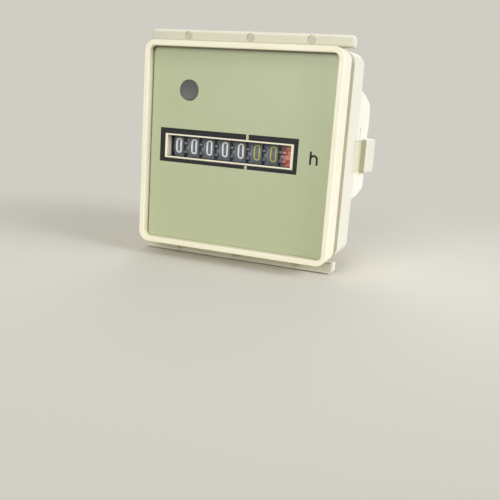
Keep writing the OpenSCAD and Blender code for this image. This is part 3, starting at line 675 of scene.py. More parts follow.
class MESH_OT_hour_meter_face(bpy.types.Operator):
    """Finish the face plate, its printed border, the unit and the indicator"""

    bl_idname = "mesh.hour_meter_face"
    bl_label = "Face"

    def execute(self, context):
        size = sizes()
        # Painted shadow: a dark sheet that shows in the gap along the plate's upper edge.
        olive = printing_ink("dark shadow sheet", paint(52, 47, 24), 0.6)
        settle(self.shadow_sheet(), "case", olive)
        green = printed_plate("grey green plate", colours().face)
        settle(self.plate(size), "case", green, ("face_plate",))
        smoke = smoked_lens("smoked disc", paint(102, 102, 99))
        settle(self.disc(), "case", smoke, ("indicator_lens",))
        black = printing_ink("black print", colours().print)
        settle(self.border(size), "case", black)
        settle(self.unit(size), "case", black)
        # Painted shade: a dark liner inside the window stands in for the shade under its rim.
        charcoal = moulded_plastic("charcoal shade liner", paint(52, 53, 56), 0.55, 0.1 * MM, 0.003 * MM, 0.2)
        settle(self.mask(), "case", charcoal)
        return {"FINISHED"}

    def plate(self, size):
        """The plate with its upper edge cut a little short and its window close to the slim rim."""
        low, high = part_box("face_plate")
        left, right, window_low, window_high = self.window_opening()
        plate = copy_solid("face_plate", "plate")
        shift_points(plate, lambda p: p.z > high.z - 3 * MM and p.x < 0, (0, 0, -0.06 * MM))
        shift_points(plate, lambda p: p.z > high.z - 3 * MM and p.x > 0, (0, 0, -0.03 * MM))
        shift_points(plate, lambda p: p.x < low.x + 3 * MM, (0.08 * MM, 0, 0))
        for edge, side in ((window_low, 1), (window_high, -1)):
            shift_points(plate, lambda p: near(p.z, edge) and left - 0.1 * MM < p.x < right + 0.1 * MM,
                         (0, 0, side * (size.rim_slim + 0.05 * MM)))
        soften(plate, 0.05 * MM, lambda p: near(p.y, low.y) and abs(p.z) > 8 * MM, 2, 60)
        smooth(plate)
        return plate

    def shadow_sheet(self):
        """A thin dark layer under the plate that shows along its upper edge as a painted shadow under the
        lip.
        """
        low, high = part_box("face_plate")
        layer = copy_solid("face_plate", "plate_shadow_sheet")
        thin = 0.04 * MM
        shift_points(layer, lambda p: near(p.y, low.y), (0, high.y - low.y - thin, 0))
        return layer

    def disc(self):
        """The smoked disc with a dished front."""
        low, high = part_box("indicator_lens")
        middle = (low + high) / 2
        disc = copy_solid("indicator_lens", "indicator_disc")
        dish = 0.7 * MM
        with editing(disc):
            select_parts(disc, "FACE", lambda face: face.normal.y < -0.9
                         and near(face.calc_center_median().y, low.y))
            bpy.ops.mesh.inset(thickness=0.05 * MM)
            bpy.ops.mesh.inset(thickness=0.02 * MM)
            bpy.ops.transform.translate(value=(0, dish, 0))
            bpy.ops.transform.resize(value=(0.8, 1, 0.8), center_override=middle)
        smooth(disc, 25)
        return disc

    def mask(self):
        """A thin dark liner over, under and right of the window's rear, in front of the wheels, standing in
        for the shade inside the window.
        """
        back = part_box("face_plate")[1].y + RIM_BACK
        edge = [v.co for v in NODES["front_housing"].data.vertices
                if near(v.co.y, back) and abs(v.co.z) < 3.5 * MM and abs(v.co.x) < 20 * MM]
        low = (min(p.x for p in edge), back - 1.3 * MM, min(p.z for p in edge))
        high = (max(p.x for p in edge), back - 0.02 * MM, max(p.z for p in edge))
        liner = add_box("window_shade_liner", low, high)
        with editing(liner):
            select_parts(liner, "FACE", lambda face: abs(face.normal.y) > 0.9 or face.normal.x < -0.9)
            bpy.ops.mesh.delete(type="FACE")
        lip = 0.72 * MM
        shift_points(liner, lambda p: near(p.y, low[1]) and near(p.z, low[2]), (0, -lip, 0))
        bpy.ops.object.modifier_add(type="SOLIDIFY")
        liner.modifiers[-1].thickness = 0.05 * MM
        liner.modifiers[-1].offset = -1
        apply_last(liner)
        soften(liner, 0.015 * MM, lambda p: p.y < low[1] + 0.1 * MM, 1, 60)
        return liner

    def border(self, size):
        """Two brackets of ink round the window, parted at the decimal wheels."""
        left, right, low, high = self.window_opening()
        low += size.rim_slim + 0.05 * MM
        high -= size.rim_slim + 0.05 * MM
        gap = size.break_width / 2
        sides = [
            self.bracket(size, (size.border_left, left), size.break_place - gap, (low, high)),
            self.bracket(size, (right, size.border_right), size.break_place + gap, (low, high)),
        ]
        return join(sides, "window_border")

    def bracket(self, size, upright, reach, opening):
        """An upright bar of ink whose two arms run along the window to a given place."""
        face_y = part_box("face_plate")[0].y
        bar = add_box("bracket", (upright[0], face_y - size.ink, size.border_low),
                      (upright[1], face_y, size.border_high))
        arm_side = 1 if reach > upright[1] else -1
        root = upright[1] if arm_side > 0 else upright[0]
        with editing(bar):
            for edge in opening:
                bpy.ops.mesh.select_all(action="SELECT")
                bpy.ops.mesh.bisect(plane_co=(0, 0, edge), plane_no=(0, 0, 1))
            select_parts(bar, "FACE", lambda face: face.normal.x * arm_side > 0.9
                         and not opening[0] < face.calc_center_median().z < opening[1])
            bpy.ops.mesh.extrude_region_move(TRANSFORM_OT_translate={"value": (reach - root, 0, 0)})
        return bar

    def window_opening(self):
        """Left, right, lower and upper edge of the plate's cut-out for the window."""
        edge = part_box("face_plate")[1].x
        inner = [v.co for v in NODES["face_plate"].data.vertices
                 if abs(v.co.z) < 5 * MM and abs(v.co.x) < edge - 1 * MM]
        return (min(p.x for p in inner), max(p.x for p in inner),
                min(p.z for p in inner), max(p.z for p in inner))

    def unit(self, size):
        """The unit of time as a plain printed letter."""
        face_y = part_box("face_plate")[0].y
        stroke = 0.47 * MM
        bow = 1.51 * MM / 2
        top = 3.46 * MM / 2 - stroke / 2
        shoulder = -0.2 * MM
        middle_x = 18.56 * MM
        middle_z = -0.05 * MM
        paths = [
            [(-bow, top), (-bow, -top)],
            arc(0, shoulder, bow, 180, 0, 12) + [(bow, -top)],
        ]
        letter = stroke_mesh("unit_mark", paths, stroke, size.ink)
        for vertex in letter.data.vertices:
            u, v, w = vertex.co
            vertex.co = (middle_x + u, face_y - w, middle_z + v)
        return letter


def arc(x, z, radius, start, end, steps=10):
    """Points on an arc, with the angles in degrees."""
    points = []
    for i in range(steps + 1):
        angle = math.radians(start + (end - start) * i / steps)
        points.append((x + radius * math.cos(angle), z + radius * math.sin(angle)))
    return points


def finer(path, step=0.15 * MM):
    """The same path with points close enough to follow a wheel's rim."""
    points = [path[0]]
    for start, end in zip(path, path[1:]):
        length = math.dist(start, end)
        if length < 1e-7:
            continue
        parts = math.ceil(length / step)
        for i in range(1, parts + 1):
            points.append(tuple(a + (b - a) * i / parts for a, b in zip(start, end)))
    return points


def stroke_mesh(name, paths, width, height):
    """Draw each path as a tube, press it flat and return one mesh in the paper's plane."""
    clear_selection()
    curve = bpy.data.curves.new(name, "CURVE")
    curve.dimensions = "3D"
    curve.bevel_depth = width / 2
    curve.bevel_resolution = 1
    curve.use_fill_caps = True
    for path in paths:
        closed = (Vector(path[0]) - Vector(path[-1])).length < 1e-7
        points = finer(path)[:-1] if closed else finer(path)
        spline = curve.splines.new("POLY")
        spline.points.add(len(points) - 1)
        spline.use_cyclic_u = closed
        for point, place in zip(spline.points, points):
            point.co = (place[0], place[1], 0, 1)
    drawn = bpy.data.objects.new(name, curve)
    bpy.context.scene.collection.objects.link(drawn)
    pick(drawn)
    bpy.ops.object.convert(target="MESH")
    drawn = bpy.context.view_layer.objects.active
    with editing(drawn):
        bpy.ops.mesh.select_all(action="SELECT")
        bpy.ops.mesh.remove_doubles(threshold=0.0005 * MM)
        bpy.ops.mesh.normals_make_consistent(inside=False)
        bpy.ops.transform.resize(value=(1, 1, 2 * height / width), center_override=(0, 0, 0))
    return drawn


def figure_paths(figure, a, b):
    """Centre lines of a figure that is 2a wide and 2b tall."""
    c = b - a
    d = b * 0.52
    if figure == 0:
        return [arc(0, c, a, 0, 180) + arc(0, -c, a, 180, 360) + [(a, c)]]
    if figure == 1:
        return [[(-a * 0.75, b - a * 0.9), (a * 0.2, b), (a * 0.2, -b)]]
    if figure == 2:
        return [arc(0, c, a, 170, -20) + [(-a, -b), (a, -b)]]
    if figure == 3:
        return [arc(0, c, a, 160, -60) + [(-a * 0.2, b * 0.08)],
                [(-a * 0.2, b * 0.08)] + arc(0, -c, a, 60, -160)]
    if figure == 4:
        return [[(a * 0.1, b), (-a, -b * 0.35), (a, -b * 0.35)], [(a * 0.45, b * 0.25), (a * 0.45, -b)]]
    if figure == 5:
        return [[(a * 0.9, b), (-a * 0.85, b), (-a * 0.95, b * 0.02)]
                + arc(0, -c * 0.82, a, 130, -150)]
    if figure in (6, 9):
        turn = 1 if figure == 6 else -1
        loop = arc(0, 0.02 * b, a, 0, 180) + arc(0, -c, a, 180, 360) + [(a, 0.02 * b)]
        stem = [(-a, -0.2 * b)] + [(-a, c * 0.6)] + arc(a * 0.15, b - a * 1.05, a * 1.1, 170, 55, 7)
        return [[(turn * x, turn * z) for x, z in path] for path in (loop, stem)]
    if figure == 7:
        return [[(-a, b), (a, b), (-a * 0.3, -b)]]
    upper = a * 0.9
    top = arc(0, b - upper, upper, -60, 240, 14)
    return [top + [top[0]], arc(0, d - b * 0.42, a, 0, 180) + arc(0, -c, a, 180, 360) + [(a, d - b * 0.42)]]


class MESH_OT_hour_meter_figures(bpy.types.Operator):
    """Print the figures round the number wheels"""

    bl_idname = "mesh.hour_meter_figures"
    bl_label = "Figures"

    def execute(self, context):
        size = sizes()
        white = printing_ink("white figures", colours().figure, 0.55)
        yellow = printing_ink("yellow figures", colours().decimal, 0.55)
        for wheel in range(1, FIGURE_WHEELS + 1):
            decimal = wheel <= YELLOW_WHEELS
            stroke = size.thin_stroke if decimal else size.stroke
            drawn = [self.wrap(figure, wheel, stroke, size) for figure in range(10)]
            band = join(drawn, "figures_%d" % wheel)
            settle(band, "wheel_%d" % wheel, yellow if decimal else white)
        return {"FINISHED"}

    def wrap(self, figure, wheel, stroke, size):
        """Draw one figure flat and lay it round the wheel's rim."""
        low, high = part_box("number_wheel_%d" % wheel)
        middle = (low + high) / 2
        radius = (high.z - low.z) / 2
        rim_middle = joint_place("wheel_%d_turn" % wheel).x
        paths = figure_paths(figure, (size.figure_width - stroke) / 2, (size.figure_height - stroke) / 2)
        drawn = stroke_mesh("figure", paths, stroke, size.ink)
        for vertex in drawn.data.vertices:
            u, v, w = vertex.co
            angle = math.radians(180 - 36 * figure) - v / radius
            y = middle.y + (radius + w) * math.cos(angle)
            z = middle.z + (radius + w) * math.sin(angle)
            vertex.co = (rim_middle + u, y, z)
        return drawn


def joint_place(name):
    for joint in frame["joints"]:
        if joint["name"] == name:
            return Vector(joint["pos_m"])
    raise RuntimeError("no joint named " + name)


class MESH_OT_hour_meter_counter(bpy.types.Operator):
    """Finish the wheels, pinions, shafts and frame of the counter"""

    bl_idname = "mesh.hour_meter_counter"
    bl_label = "Counter"

    def execute(self, context):
        charcoal = self.wheel_finish(colours().wheel)
        grey = moulded_plastic("grey pinion moulding", paint(142, 146, 150), 0.45, 0.08 * MM, 0.002 * MM, 0.2)
        red = moulded_plastic("red moulding", colours().run, 0.45, 0.1 * MM, 0.003 * MM, 0.3)
        plated = plated_metal("zinc plated sheet", paint(196, 198, 198), 0.38)
        ground = plated_metal("ground shaft", paint(208, 208, 206), 0.24, (14, 1, 1), 0.2)
        for k in range(1, FIGURE_WHEELS + 1):
            settle(self.soft_rim("number_wheel_%d" % k, "counter_wheel_%d" % k, 0.1 * MM),
                   "wheel_%d" % k, charcoal, ("number_wheel_%d" % k,))
            wear(NODES["transfer_pinion_%d" % k], grey)
        settle(self.soft_rim("run_wheel", "red_wheel", 0.07 * MM), "run", red, ("run_wheel",))
        dress("counter_frame", "case", plated, 0.08 * MM)
        for node in ("counter_shaft", "pinion_shaft", "armature_pin"):
            wear(NODES[node], ground)
        return {"FINISHED"}

    def wheel_finish(self, colour):
        """Charcoal plastic with painted light: paler towards the roots of the teeth and on their tips, to
        lift the shade between the wheels.
        """
        finish = Finish(moulded_plastic("charcoal moulding", colour, 0.58, 0.1 * MM, 0.003 * MM, 0.2))
        x, y, z = finish.axes()
        axis = joint_place("wheel_1_turn")
        rim = WHEEL_RADIUS
        reach = ((y - axis.y) * (y - axis.y) + (z - axis.z) * (z - axis.z)).root()
        # Painted light: the roots of the teeth are made paler against the shade between the wheels.
        finish.overlay(1 - reach.between(rim - 1.7 * MM, rim - 0.9 * MM), paint(176, 180, 186))
        # Painted light: a paler band on the tips of the teeth.
        tips = reach.between(rim - 1.2 * MM, rim - 0.8 * MM)
        tips = tips * (1 - reach.between(rim - 0.45 * MM, rim - 0.35 * MM))
        finish.overlay(tips, shade(colour, 1.4))
        finish.surface.inputs["Specular IOR Level"].default_value = 0.3
        return finish.material

    def soft_rim(self, node, name, width):
        """A copy of a wheel with the corners of its rim rounded."""
        low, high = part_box(node)
        radius = (high.z - low.z) / 2
        axis = (low + high) / 2
        wheel = copy_solid(node, name)
        soften(wheel, width, lambda p: math.hypot(p.y - axis.y, p.z - axis.z) > radius - 0.03 * MM, 2, 50)
        smooth(wheel)
        return wheel


class MESH_OT_hour_meter_clamp(bpy.types.Operator):
    """Soften the clamp frame's strips, ring, ears and tabs"""

    bl_idname = "mesh.hour_meter_clamp"
    bl_label = "Clamp frame"

    def execute(self, context):
        size = sizes()
        pale = self.clamp_finish(colours().clamp, size)
        clamp = copy_solid("clamp_frame", "clamp")
        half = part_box("front_housing")[1].x
        soften(clamp, size.tab_round, lambda p: self.on_tab(p, half), 4)
        soften(clamp, size.ring_round * 0.4,
               lambda p: near(p.y, size.ring_front) and self.outside(p, half), 2)
        soften(clamp, size.ring_round, lambda p: self.on_ear(p, half, size), 3)
        old = [(v.co.x, v.co.y, abs(v.co.z)) for v in clamp.data.vertices if abs(v.co.z) > half + 0.34 * MM]
        low = Vector([min(values) for values in zip(*old)])
        high = Vector([max(values) for values in zip(*old)])
        strips = [self.strip(side, low, high, size) for side in (1, -1)]
        far = 40 * MM
        for side in (1, -1):
            ends = sorted((side * low.z, side * far))
            cut(clamp, add_box("strip_cutter", (-far, low.y - 1 * MM, ends[0]),
                               (far, high.y + 0.02 * MM, ends[1])))
        clamp = join([clamp] + strips, "clamp")
        smooth(clamp)
        settle(clamp, "clamp", pale, ("clamp_frame",))
        return {"FINISHED"}

    def clamp_finish(self, colour, size):
        """Moulded plastic with painted shade on the strips' fronts and the floors of their marks, the hollows
        and the tabs, and a painted highlight on the ears.
        """
        finish = Finish(moulded_plastic("pale clamp moulding", colour, 0.4, 0.14 * MM, 0.003 * MM, 0.35))
        x, y, z = finish.axes()
        height = abs(z)
        low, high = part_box("clamp_frame")
        # Painted shade: the strips' front faces are darker and greyer than the sides of the same plastic.
        front = 1 - y.between(low.y + 0.42 * MM, low.y + 0.55 * MM)
        front = front * (1 - height.between(high.z - 0.75 * MM, high.z - 0.25 * MM))
        front_shade = (colour[0] * 0.74, colour[1] * 0.73, colour[2] * 0.68)
        finish.overlay(front * 0.85, front_shade)
        # Painted shade: the floors of the sunk marks are darker still.
        mark = front * y.between(low.y + 0.26 * MM, low.y + 0.34 * MM)
        mark = mark * (1 - height.between(high.z - 0.85 * MM, high.z - 0.65 * MM))
        finish.overlay(mark * 0.7, shade(front_shade, 0.8))

        back = size.ring_back
        tab_y = back + TAB_BEHIND_RING
        hollow = 1 - height.between(TAB_HALF_HEIGHT - 0.55 * MM, TAB_HALF_HEIGHT - 0.05 * MM)
        hollow = hollow * y.between(back - 1.1 * MM, back - 0.3 * MM)
        hollow = hollow * (1 - y.between(tab_y - 0.3 * MM, tab_y))
        proud = abs(x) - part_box("front_housing")[1].x
        # Painted highlight: the ears are paler than the ring of the same plastic.
        ear = y.between(back - 0.2 * MM, back + 0.5 * MM)
        ear = ear * (1 - proud.between(1.1 * MM, 1.5 * MM)) * (1 - hollow)
        finish.overlay(ear * 0.3, (0.98, 0.98, 0.92))
        # Painted shade: the outer faces of the tabs are a little darker.
        finish.overlay(proud.between(1.5 * MM, 1.9 * MM) * 0.6, shade(colour, 0.88))
        # Painted shade: the finger hollows in front of the tabs are darker.
        finish.overlay(hollow * 0.4, paint(200, 195, 160))
        # Painted shade: the front faces of the tabs are dark.
        tab = proud.between(0.45 * MM, 0.6 * MM) * (1 - proud.between(1.6 * MM, 1.95 * MM))
        tab = tab * y.between(tab_y - 0.6 * MM, tab_y - 0.4 * MM)
        tab = tab * (1 - y.between(tab_y + 0.2 * MM, tab_y + 0.5 * MM))
        finish.overlay(tab * 0.8, paint(172, 164, 126))
        return finish.material

    def strip(self, side, low, high, size):
        """A pressing strip with a rounded outline, soft edges and three round sunk marks in its front."""
        left = low.x - size.strip_reach
        right = high.x - 0.05 * MM
        foot = side * (low.z - 0.05 * MM)
        top = side * high.z
        ends = sorted((foot, top))
        strip = add_box("strip", (left, low.y, ends[0]), (right, high.y, ends[1]))
        for place, width in ((top, 0.95 * MM), (foot, 0.62 * MM)):
            round_edges(strip, lambda edge: self.across(edge, place), width, 8)
        round_edges(strip, lambda edge: near(edge.verts[0].co.y, edge.verts[1].co.y), size.strip_round, 5)
        middle = side * (low.z + high.z) / 2
        places = UPPER_MARKS if side > 0 else LOWER_MARKS
        cut(strip, join([self.mark(x, low.y, middle) for x in places], "mark_cutter"))
        return strip

    def across(self, edge, place):
        """Whether an edge at this height runs from the front to the back."""
        a, b = [end.co for end in edge.verts]
        return near(a.z, place) and near(b.z, place) and near(a.x, b.x)

    def mark(self, x, front, z):
        """A shallow round cutter with a tapered rim."""
        clear_selection()
        bpy.ops.mesh.primitive_cone_add(
            vertices=48, radius1=0.98 * MM, radius2=1.06 * MM, depth=0.76 * MM,
            location=(x, front, z), rotation=(math.radians(90), 0, 0))
        return start_piece("mark_cutter")

    def on_tab(self, p, half):
        """On a finger tab, outside the ear that carries it."""
        return abs(p.x) > half + 1.2 * MM and p.y > 14 * MM and abs(p.z) < 6 * MM

    def outside(self, p, half):
        """On the outer face of the ring, its rounded corners included."""
        corner = sizes().ring_corner
        x = max(abs(p.x) - half + corner, 0)
        z = max(abs(p.z) - half + corner, 0)
        return near(math.hypot(x, z), corner, 0.03 * MM)

    def on_ear(self, p, half, size):
        """On the rim of an ear's outer face, away from its slits and its hollow."""
        back = p.y - size.ring_back
        if back < 0.05 * MM:
            return False
        face = half + back * math.tan(EAR_SPLAY)
        if not near(abs(p.x), face, 0.03 * MM):
            return False
        return back > 2.5 * MM or p.z > 7.5 * MM or p.z < -5.5 * MM


class MESH_OT_hour_meter_drive(bpy.types.Operator):
    """Finish the electromagnet, its armature and pallet"""

    bl_idname = "mesh.hour_meter_drive"
    bl_label = "Drive"

    def execute(self, context):
        iron = plated_metal("plated iron", paint(178, 180, 182), 0.42, (1, 8, 1), 0.4)
        former = moulded_plastic("former moulding", paint(232, 226, 204), 0.45)
        wire = plated_metal("varnished copper wire", paint(196, 118, 66), 0.3, (0.5, 12, 12), 0.3)
        wear(NODES["magnet_core"], iron)
        dress("magnet_yoke", "case", iron, 0.15 * MM)
        dress("armature", "rocker", iron, 0.12 * MM)
        dress("coil_former", "case", former, 0.12 * MM)
        dress("drive_pallet", "rocker", former, 0.1 * MM)
        settle(self.winding(), "case", wire, ("coil_winding",))
        return {"FINISHED"}

    def winding(self):
        """Turns of wire side by side over the layers below them."""
        low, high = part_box("coil_winding")
        middle = (low + high) / 2
        radius = (high.z - low.z) / 2
        wire = 0.15 * MM
        turns = round((high.x - low.x) / (2 * wire)) - 1
        layers = copy_solid("coil_winding", "winding")
        share = (radius - 1.2 * wire) / radius
        with editing(layers):
            select_parts(layers, "VERT", lambda point: math.hypot(
                point.co.y - middle.y, point.co.z - middle.z) > radius * 0.8)
            bpy.ops.transform.resize(value=(1, share, share), center_override=middle)
        clear_selection()
        bpy.ops.mesh.primitive_torus_add(
            location=(low.x + 2 * wire, middle.y, middle.z), rotation=(0, math.radians(90), 0),
            major_radius=radius - wire, minor_radius=wire, major_segments=48, minor_segments=8)
        turn = start_piece("turn")
        bpy.ops.object.modifier_add(type="ARRAY")
        row = turn.modifiers[-1]
        row.count = turns
        row.use_relative_offset = False
        row.use_constant_offset = True
        row.constant_offset_displace = (2 * wire, 0, 0)
        apply_last(turn)
        winding = join([layers, turn], "winding")
        smooth(winding, 60)
        return winding


class MESH_OT_hour_meter_board(bpy.types.Operator):
    """Finish the circuit board and what stands on it"""

    bl_idname = "mesh.hour_meter_board"
    bl_label = "Board"

    def execute(self, context):
        tin = plated_metal("solder", paint(190, 192, 194), 0.28, (1, 1, 1), 0.2)
        settle(self.solder(), "case", tin)
        laminate = moulded_plastic("board laminate", paint(58, 104, 66), 0.35)
        dress("circuit_board", "case", laminate, 0.1 * MM)
        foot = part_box("circuit_board")[1].z + 0.25 * MM

        def leads(x, y, z):
            return 1 - z.between(foot, foot + 0.1 * MM)

        def above(point):
            return point.z > foot

        coat = self.leaded("dipped coating", paint(184, 70, 52), 0.25, leads)
        dress("film_capacitor", "case", coat.material, 1.1 * MM, above, 4)
        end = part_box("smoothing_capacitor")[1]
        sleeve = self.leaded("capacitor sleeve", paint(48, 60, 86), 0.25, lambda x, y, z: (
            leads(x, y, z) + z.between(end.z - 0.25 * MM, end.z - 0.2 * MM)))
        x, y, z = sleeve.axes()
        sleeve.overlay(x.between(end.x - 0.5 * MM, end.x - 0.4 * MM), paint(196, 200, 204))
        dress("smoothing_capacitor", "case", sleeve.material, 0.4 * MM, above, 3)
        resin = self.leaded("lamp resin", paint(226, 226, 220), 0.2, leads)
        wear(NODES["indicator_lamp"], resin.material)
        settle(self.chip(), "case", self.chip_finish(), ("timer_chip",))
        wear(NODES["dropper_resistor"], self.resistor_finish())
        return {"FINISHED"}

    def leaded(self, name, colour, rough, metal):
        """A coated part whose leads are bare metal where the given rule says so."""
        finish = Finish(moulded_plastic(name, colour, rough))
        share = metal(*finish.axes())
        finish.overlay(share, paint(204, 205, 202))
        finish.set(metallic=share * 0.9)
        return finish

    def chip_finish(self):
        """Black moulding with tinned pins along both sides."""
        low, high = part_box("timer_chip")
        middle = (low.y + high.y) / 2
        edge = (high.y - low.y) / 2 - 1.1 * MM
        return self.leaded("chip moulding", paint(44, 44, 46), 0.55,
                           lambda x, y, z: abs(y - middle).between(edge, edge + 0.05 * MM)).material

    def resistor_finish(self):
        """Tan coating with four value bands and bare leads."""
        low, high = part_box("dropper_resistor")
        middle = (low.x + high.x) / 2
        finish = self.leaded("resistor coating", paint(204, 174, 128), 0.4,
                             lambda x, y, z: abs(x - middle).between(3.25 * MM, 3.3 * MM))
        x, y, z = finish.axes()
        for place, level in BANDS:
            band = 1 - abs(x - (middle + place)).between(0.28 * MM, 0.34 * MM)
            finish.overlay(band, paint(*level))
        return finish.material

    def chip(self):
        """The timer chip with soft edges and a notch at its first pin."""
        low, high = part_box("timer_chip")
        chip = copy_solid("timer_chip", "soft_timer_chip")
        soften(chip, 0.12 * MM, lambda p: near(p.z, high.z), 2, 50, True)
        clear_selection()
        bpy.ops.mesh.primitive_cylinder_add(
            vertices=32, radius=0.85 * MM, depth=0.8 * MM, location=(low.x, (low.y + high.y) / 2, high.z))
        cut(chip, start_piece("notch"))
        smooth(chip)
        return chip

    def solder(self):
        """A hollow-sided cone of solder round each lead under the board."""
        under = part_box("circuit_board")[0].z
        places = []
        for node in ("film_capacitor", "smoothing_capacitor", "timer_chip", "dropper_resistor",
                     "indicator_lamp"):
            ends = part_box(node)[0].z
            tips = [v.co.copy() for v in NODES[node].data.vertices if near(v.co.z, ends)]
            places += gather(tips, 1.2 * MM)
        height = 0.5 * MM
        clear_selection()
        bpy.ops.mesh.primitive_cone_add(vertices=16, radius1=0.32 * MM, radius2=0.85 * MM, depth=height)
        cone = start_piece("solder_joint")
        with editing(cone):
            bpy.ops.mesh.select_all(action="SELECT")
            bpy.ops.mesh.bisect(plane_co=(0, 0, 0.05 * MM), plane_no=(0, 0, 1))
            bpy.ops.transform.resize(value=(0.72, 0.72, 1), center_override=(0, 0, 0))
        smooth(cone, 50)
        level = under - height / 2 + 0.02 * MM
        made = [copy_to(cone, (place.x, place.y, level)) for place in places]
        bpy.data.objects.remove(cone)
        return join(made, "solder_joints")


class MESH_OT_hour_meter_fittings(bpy.types.Operator):
    """Finish the screws and the terminal blades"""

    bl_idname = "mesh.hour_meter_fittings"
    bl_label = "Fittings"

    def execute(self, context):
        zinc = plated_metal("zinc plated screw", paint(202, 203, 200), 0.34, (1, 1, 1), 0.3)
        brass = plated_metal("tinned brass", paint(218, 208, 172), 0.3, (1, 10, 1), 0.35)
        for node, side, head in SCREWS:
            settle(self.cross_screws(node, side, head), "case", zinc, (node,))
        blades = copy_solid("terminal_blades", "blades")
        soften(blades, 0.12 * MM, lambda p: p.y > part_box("rear_cover")[1].y + 0.1 * MM, 2)
        smooth(blades)
        settle(blades, "case", brass, ("terminal_blades",))
        return {"FINISHED"}

    def cross_screws(self, node, side, head_width):
        """Screws with domed heads and a cross recess, seen from the given side along Y."""
        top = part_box(node)[1].y if side > 0 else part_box(node)[0].y
        piece = copy_solid(node, node.replace("_", "_pan_"))
        rim = [v.co.copy() for v in piece.data.vertices if near(v.co.y, top)]
        heads = gather(rim, head_width)
        radius = max((p - heads[0]).length for p in rim if (p - heads[0]).length < head_width * 0.6)
        soften(piece, radius * 0.28, lambda p: near(p.y, top), 4)
        cutters = [self.cross(head, side, radius) for head in heads]
        cut(piece, join(cutters, "cross_cutter"))
        smooth(piece)
        return piece

    def cross(self, head, side, radius):
        """A cross that cuts the recess of one screw."""
        arm = radius * 0.17
        start = head.y + side * 0.3 * MM
        end = head.y - side * radius * 0.42
        piece = add_box("cross", (head.x - arm, min(start, end), head.z - arm),
                        (head.x + arm, max(start, end), head.z + arm))
        with editing(piece):
            for way in (Vector((1, 0, 0)), Vector((-1, 0, 0)), Vector((0, 0, 1)), Vector((0, 0, -1))):
                select_parts(piece, "FACE", lambda face: face.normal.dot(way) > 0.9
                             and near((face.calc_center_median() - head).dot(way), arm))
                bpy.ops.mesh.extrude_region_move(TRANSFORM_OT_translate={"value": way * radius * 0.4})
        return piece


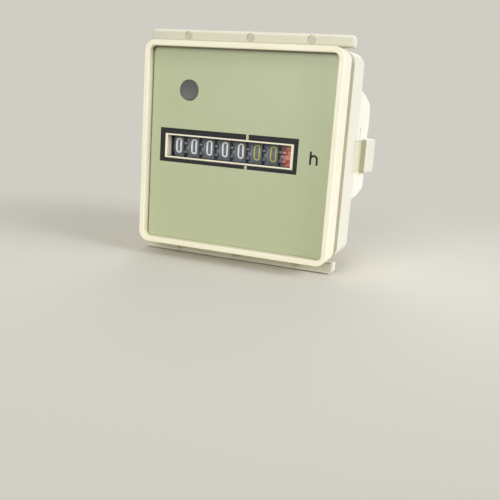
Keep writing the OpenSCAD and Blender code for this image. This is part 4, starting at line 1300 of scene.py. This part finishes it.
class OBJECT_OT_hour_meter_stage(bpy.types.Operator):
    """Add the floor, the even backdrop, soft lights and the camera"""

    bl_idname = "object.hour_meter_stage"
    bl_label = "Stage"

    def execute(self, context):
        self.camera()
        self.floor()
        self.world()
        self.lamp("right light", (0.56, -0.06, 0.20), 0.40, 2.85, (0.97, 1.0, 1.08))
        self.lamp("front light", (-0.06, -0.56, 0.19), 0.34, 1.8, (1.0, 0.99, 0.97))
        self.lamp("back light", (-0.16, 0.52, 0.26), 0.40, 1.1, (1.0, 1.0, 1.0))
        context.scene.view_settings.view_transform = "Standard"
        return {"FINISHED"}

    def camera(self):
        """Stand where the picture was taken."""
        ahead = Vector(CAMERA_AHEAD).normalized()
        right = ahead.cross(Vector(CAMERA_UP)).normalized()
        up = right.cross(ahead)
        data = bpy.data.cameras.new("camera")
        data.sensor_width = 36
        data.lens = data.sensor_width * FOCAL_LENGTH / PICTURE_WIDTH
        data.clip_start = 0.01
        eye = bpy.data.objects.new("camera", data)
        turn = Matrix((right, up, -ahead)).transposed().to_4x4()
        eye.matrix_world = Matrix.Translation(CAMERA_PLACE) @ turn
        bpy.context.scene.collection.objects.link(eye)
        bpy.context.scene.camera = eye

    def floor(self):
        """A pale floor that keeps the shadow and fades into the backdrop."""
        clear_selection()
        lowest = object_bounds()[0][2]
        middle = 0.02
        bpy.ops.mesh.primitive_grid_add(x_subdivisions=8, y_subdivisions=8, size=1.2,
                                        location=(0, middle, lowest - 0.2 * MM))
        floor = start_piece("floor")
        finish = Finish("floor paper")
        x, y, z = finish.axes()
        reach = (x * x + (y - middle) * (y - middle)).root()
        paper = finish.noise(3 * MM, 3).between(0.3, 0.7)
        pale = shade(colours().backdrop, 1.14)
        base = finish.mix(paper * 0.04, pale, shade(pale, 0.97))
        finish.set(base_color=base, roughness=0.9)
        finish.surface.inputs["Specular IOR Level"].default_value = 0.0
        clear = finish.node("ShaderNodeBsdfTransparent")
        blend = finish.node("ShaderNodeMixShader")
        finish.feed(blend.inputs[0], reach.between(0.05, 0.14))
        finish.tree.links.new(finish.surface.outputs[0], blend.inputs[1])
        finish.tree.links.new(clear.outputs[0], blend.inputs[2])
        output = finish.tree.nodes["Material Output"]
        finish.tree.links.new(blend.outputs[0], output.inputs["Surface"])
        wear(floor, finish.material)
        floor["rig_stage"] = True

    def world(self):
        """Even light all round, and the backdrop's colour for what the camera sees."""
        world = bpy.data.worlds.new("studio")
        bpy.context.scene.world = world
        world.use_nodes = True
        tree = world.node_tree
        path = tree.nodes.new("ShaderNodeLightPath")
        light = tree.nodes["Background"]
        light.inputs["Color"].default_value = (1.0, 0.99, 0.96, 1)
        light.inputs["Strength"].default_value = 0.42
        seen = tree.nodes.new("ShaderNodeBackground")
        seen.inputs["Color"].default_value = (*colours().backdrop, 1)
        blend = tree.nodes.new("ShaderNodeMixShader")
        camera = Signal(tree, path.outputs["Is Camera Ray"])
        glossy = Signal(tree, path.outputs["Is Glossy Ray"])
        through = Signal(tree, path.outputs["Is Transmission Ray"])
        share = camera.reckon("MINIMUM", camera + glossy + through, 1.0)
        tree.links.new(share.socket, blend.inputs[0])
        tree.links.new(light.outputs[0], blend.inputs[1])
        tree.links.new(seen.outputs[0], blend.inputs[2])
        tree.links.new(blend.outputs[0], tree.nodes["World Output"].inputs["Surface"])

    def lamp(self, name, place, size, watts, colour):
        data = bpy.data.lights.new(name, "AREA")
        data.color = colour
        data.shape = "DISK"
        data.size = size
        data.energy = watts
        lamp = bpy.data.objects.new(name, data)
        place = Vector(place)
        lamp.matrix_world = Matrix.Translation(place) @ place.to_track_quat("Z", "Y").to_matrix().to_4x4()
        bpy.context.scene.collection.objects.link(lamp)


class VIEW3D_PT_hour_meter(bpy.types.Panel):
    """Lists the pieces of the hour meter"""

    bl_idname = "VIEW3D_PT_hour_meter"
    bl_label = "Hour meter"
    bl_space_type = "VIEW_3D"
    bl_region_type = "UI"
    bl_category = "Hour meter"

    def draw(self, context):
        for step in STEPS:
            self.layout.operator(step.bl_idname)
        for group in (context.scene.hour_meter_sizes, context.scene.hour_meter_colours):
            for name in group.__annotations__:
                self.layout.prop(group, name)


STEPS = (
    OBJECT_OT_hour_meter_stage,
    MESH_OT_hour_meter_case,
    MESH_OT_hour_meter_face,
    MESH_OT_hour_meter_figures,
    MESH_OT_hour_meter_counter,
    MESH_OT_hour_meter_clamp,
    MESH_OT_hour_meter_drive,
    MESH_OT_hour_meter_board,
    MESH_OT_hour_meter_fittings,
)
CLASSES = (HourMeterSizes, HourMeterColours) + STEPS + (VIEW3D_PT_hour_meter,)


def register():
    for entry in CLASSES:
        bpy.utils.register_class(entry)
    bpy.types.Scene.hour_meter_sizes = PointerProperty(type=HourMeterSizes)
    bpy.types.Scene.hour_meter_colours = PointerProperty(type=HourMeterColours)


def unregister():
    del bpy.types.Scene.hour_meter_sizes
    del bpy.types.Scene.hour_meter_colours
    for entry in reversed(CLASSES):
        bpy.utils.unregister_class(entry)


def main():
    register()
    bpy.ops.object.hour_meter_stage()
    bpy.ops.mesh.hour_meter_case()
    bpy.ops.mesh.hour_meter_face()
    bpy.ops.mesh.hour_meter_figures()
    bpy.ops.mesh.hour_meter_counter()
    bpy.ops.mesh.hour_meter_clamp()
    bpy.ops.mesh.hour_meter_drive()
    bpy.ops.mesh.hour_meter_board()
    bpy.ops.mesh.hour_meter_fittings()


if __name__ == "__main__":
    main()
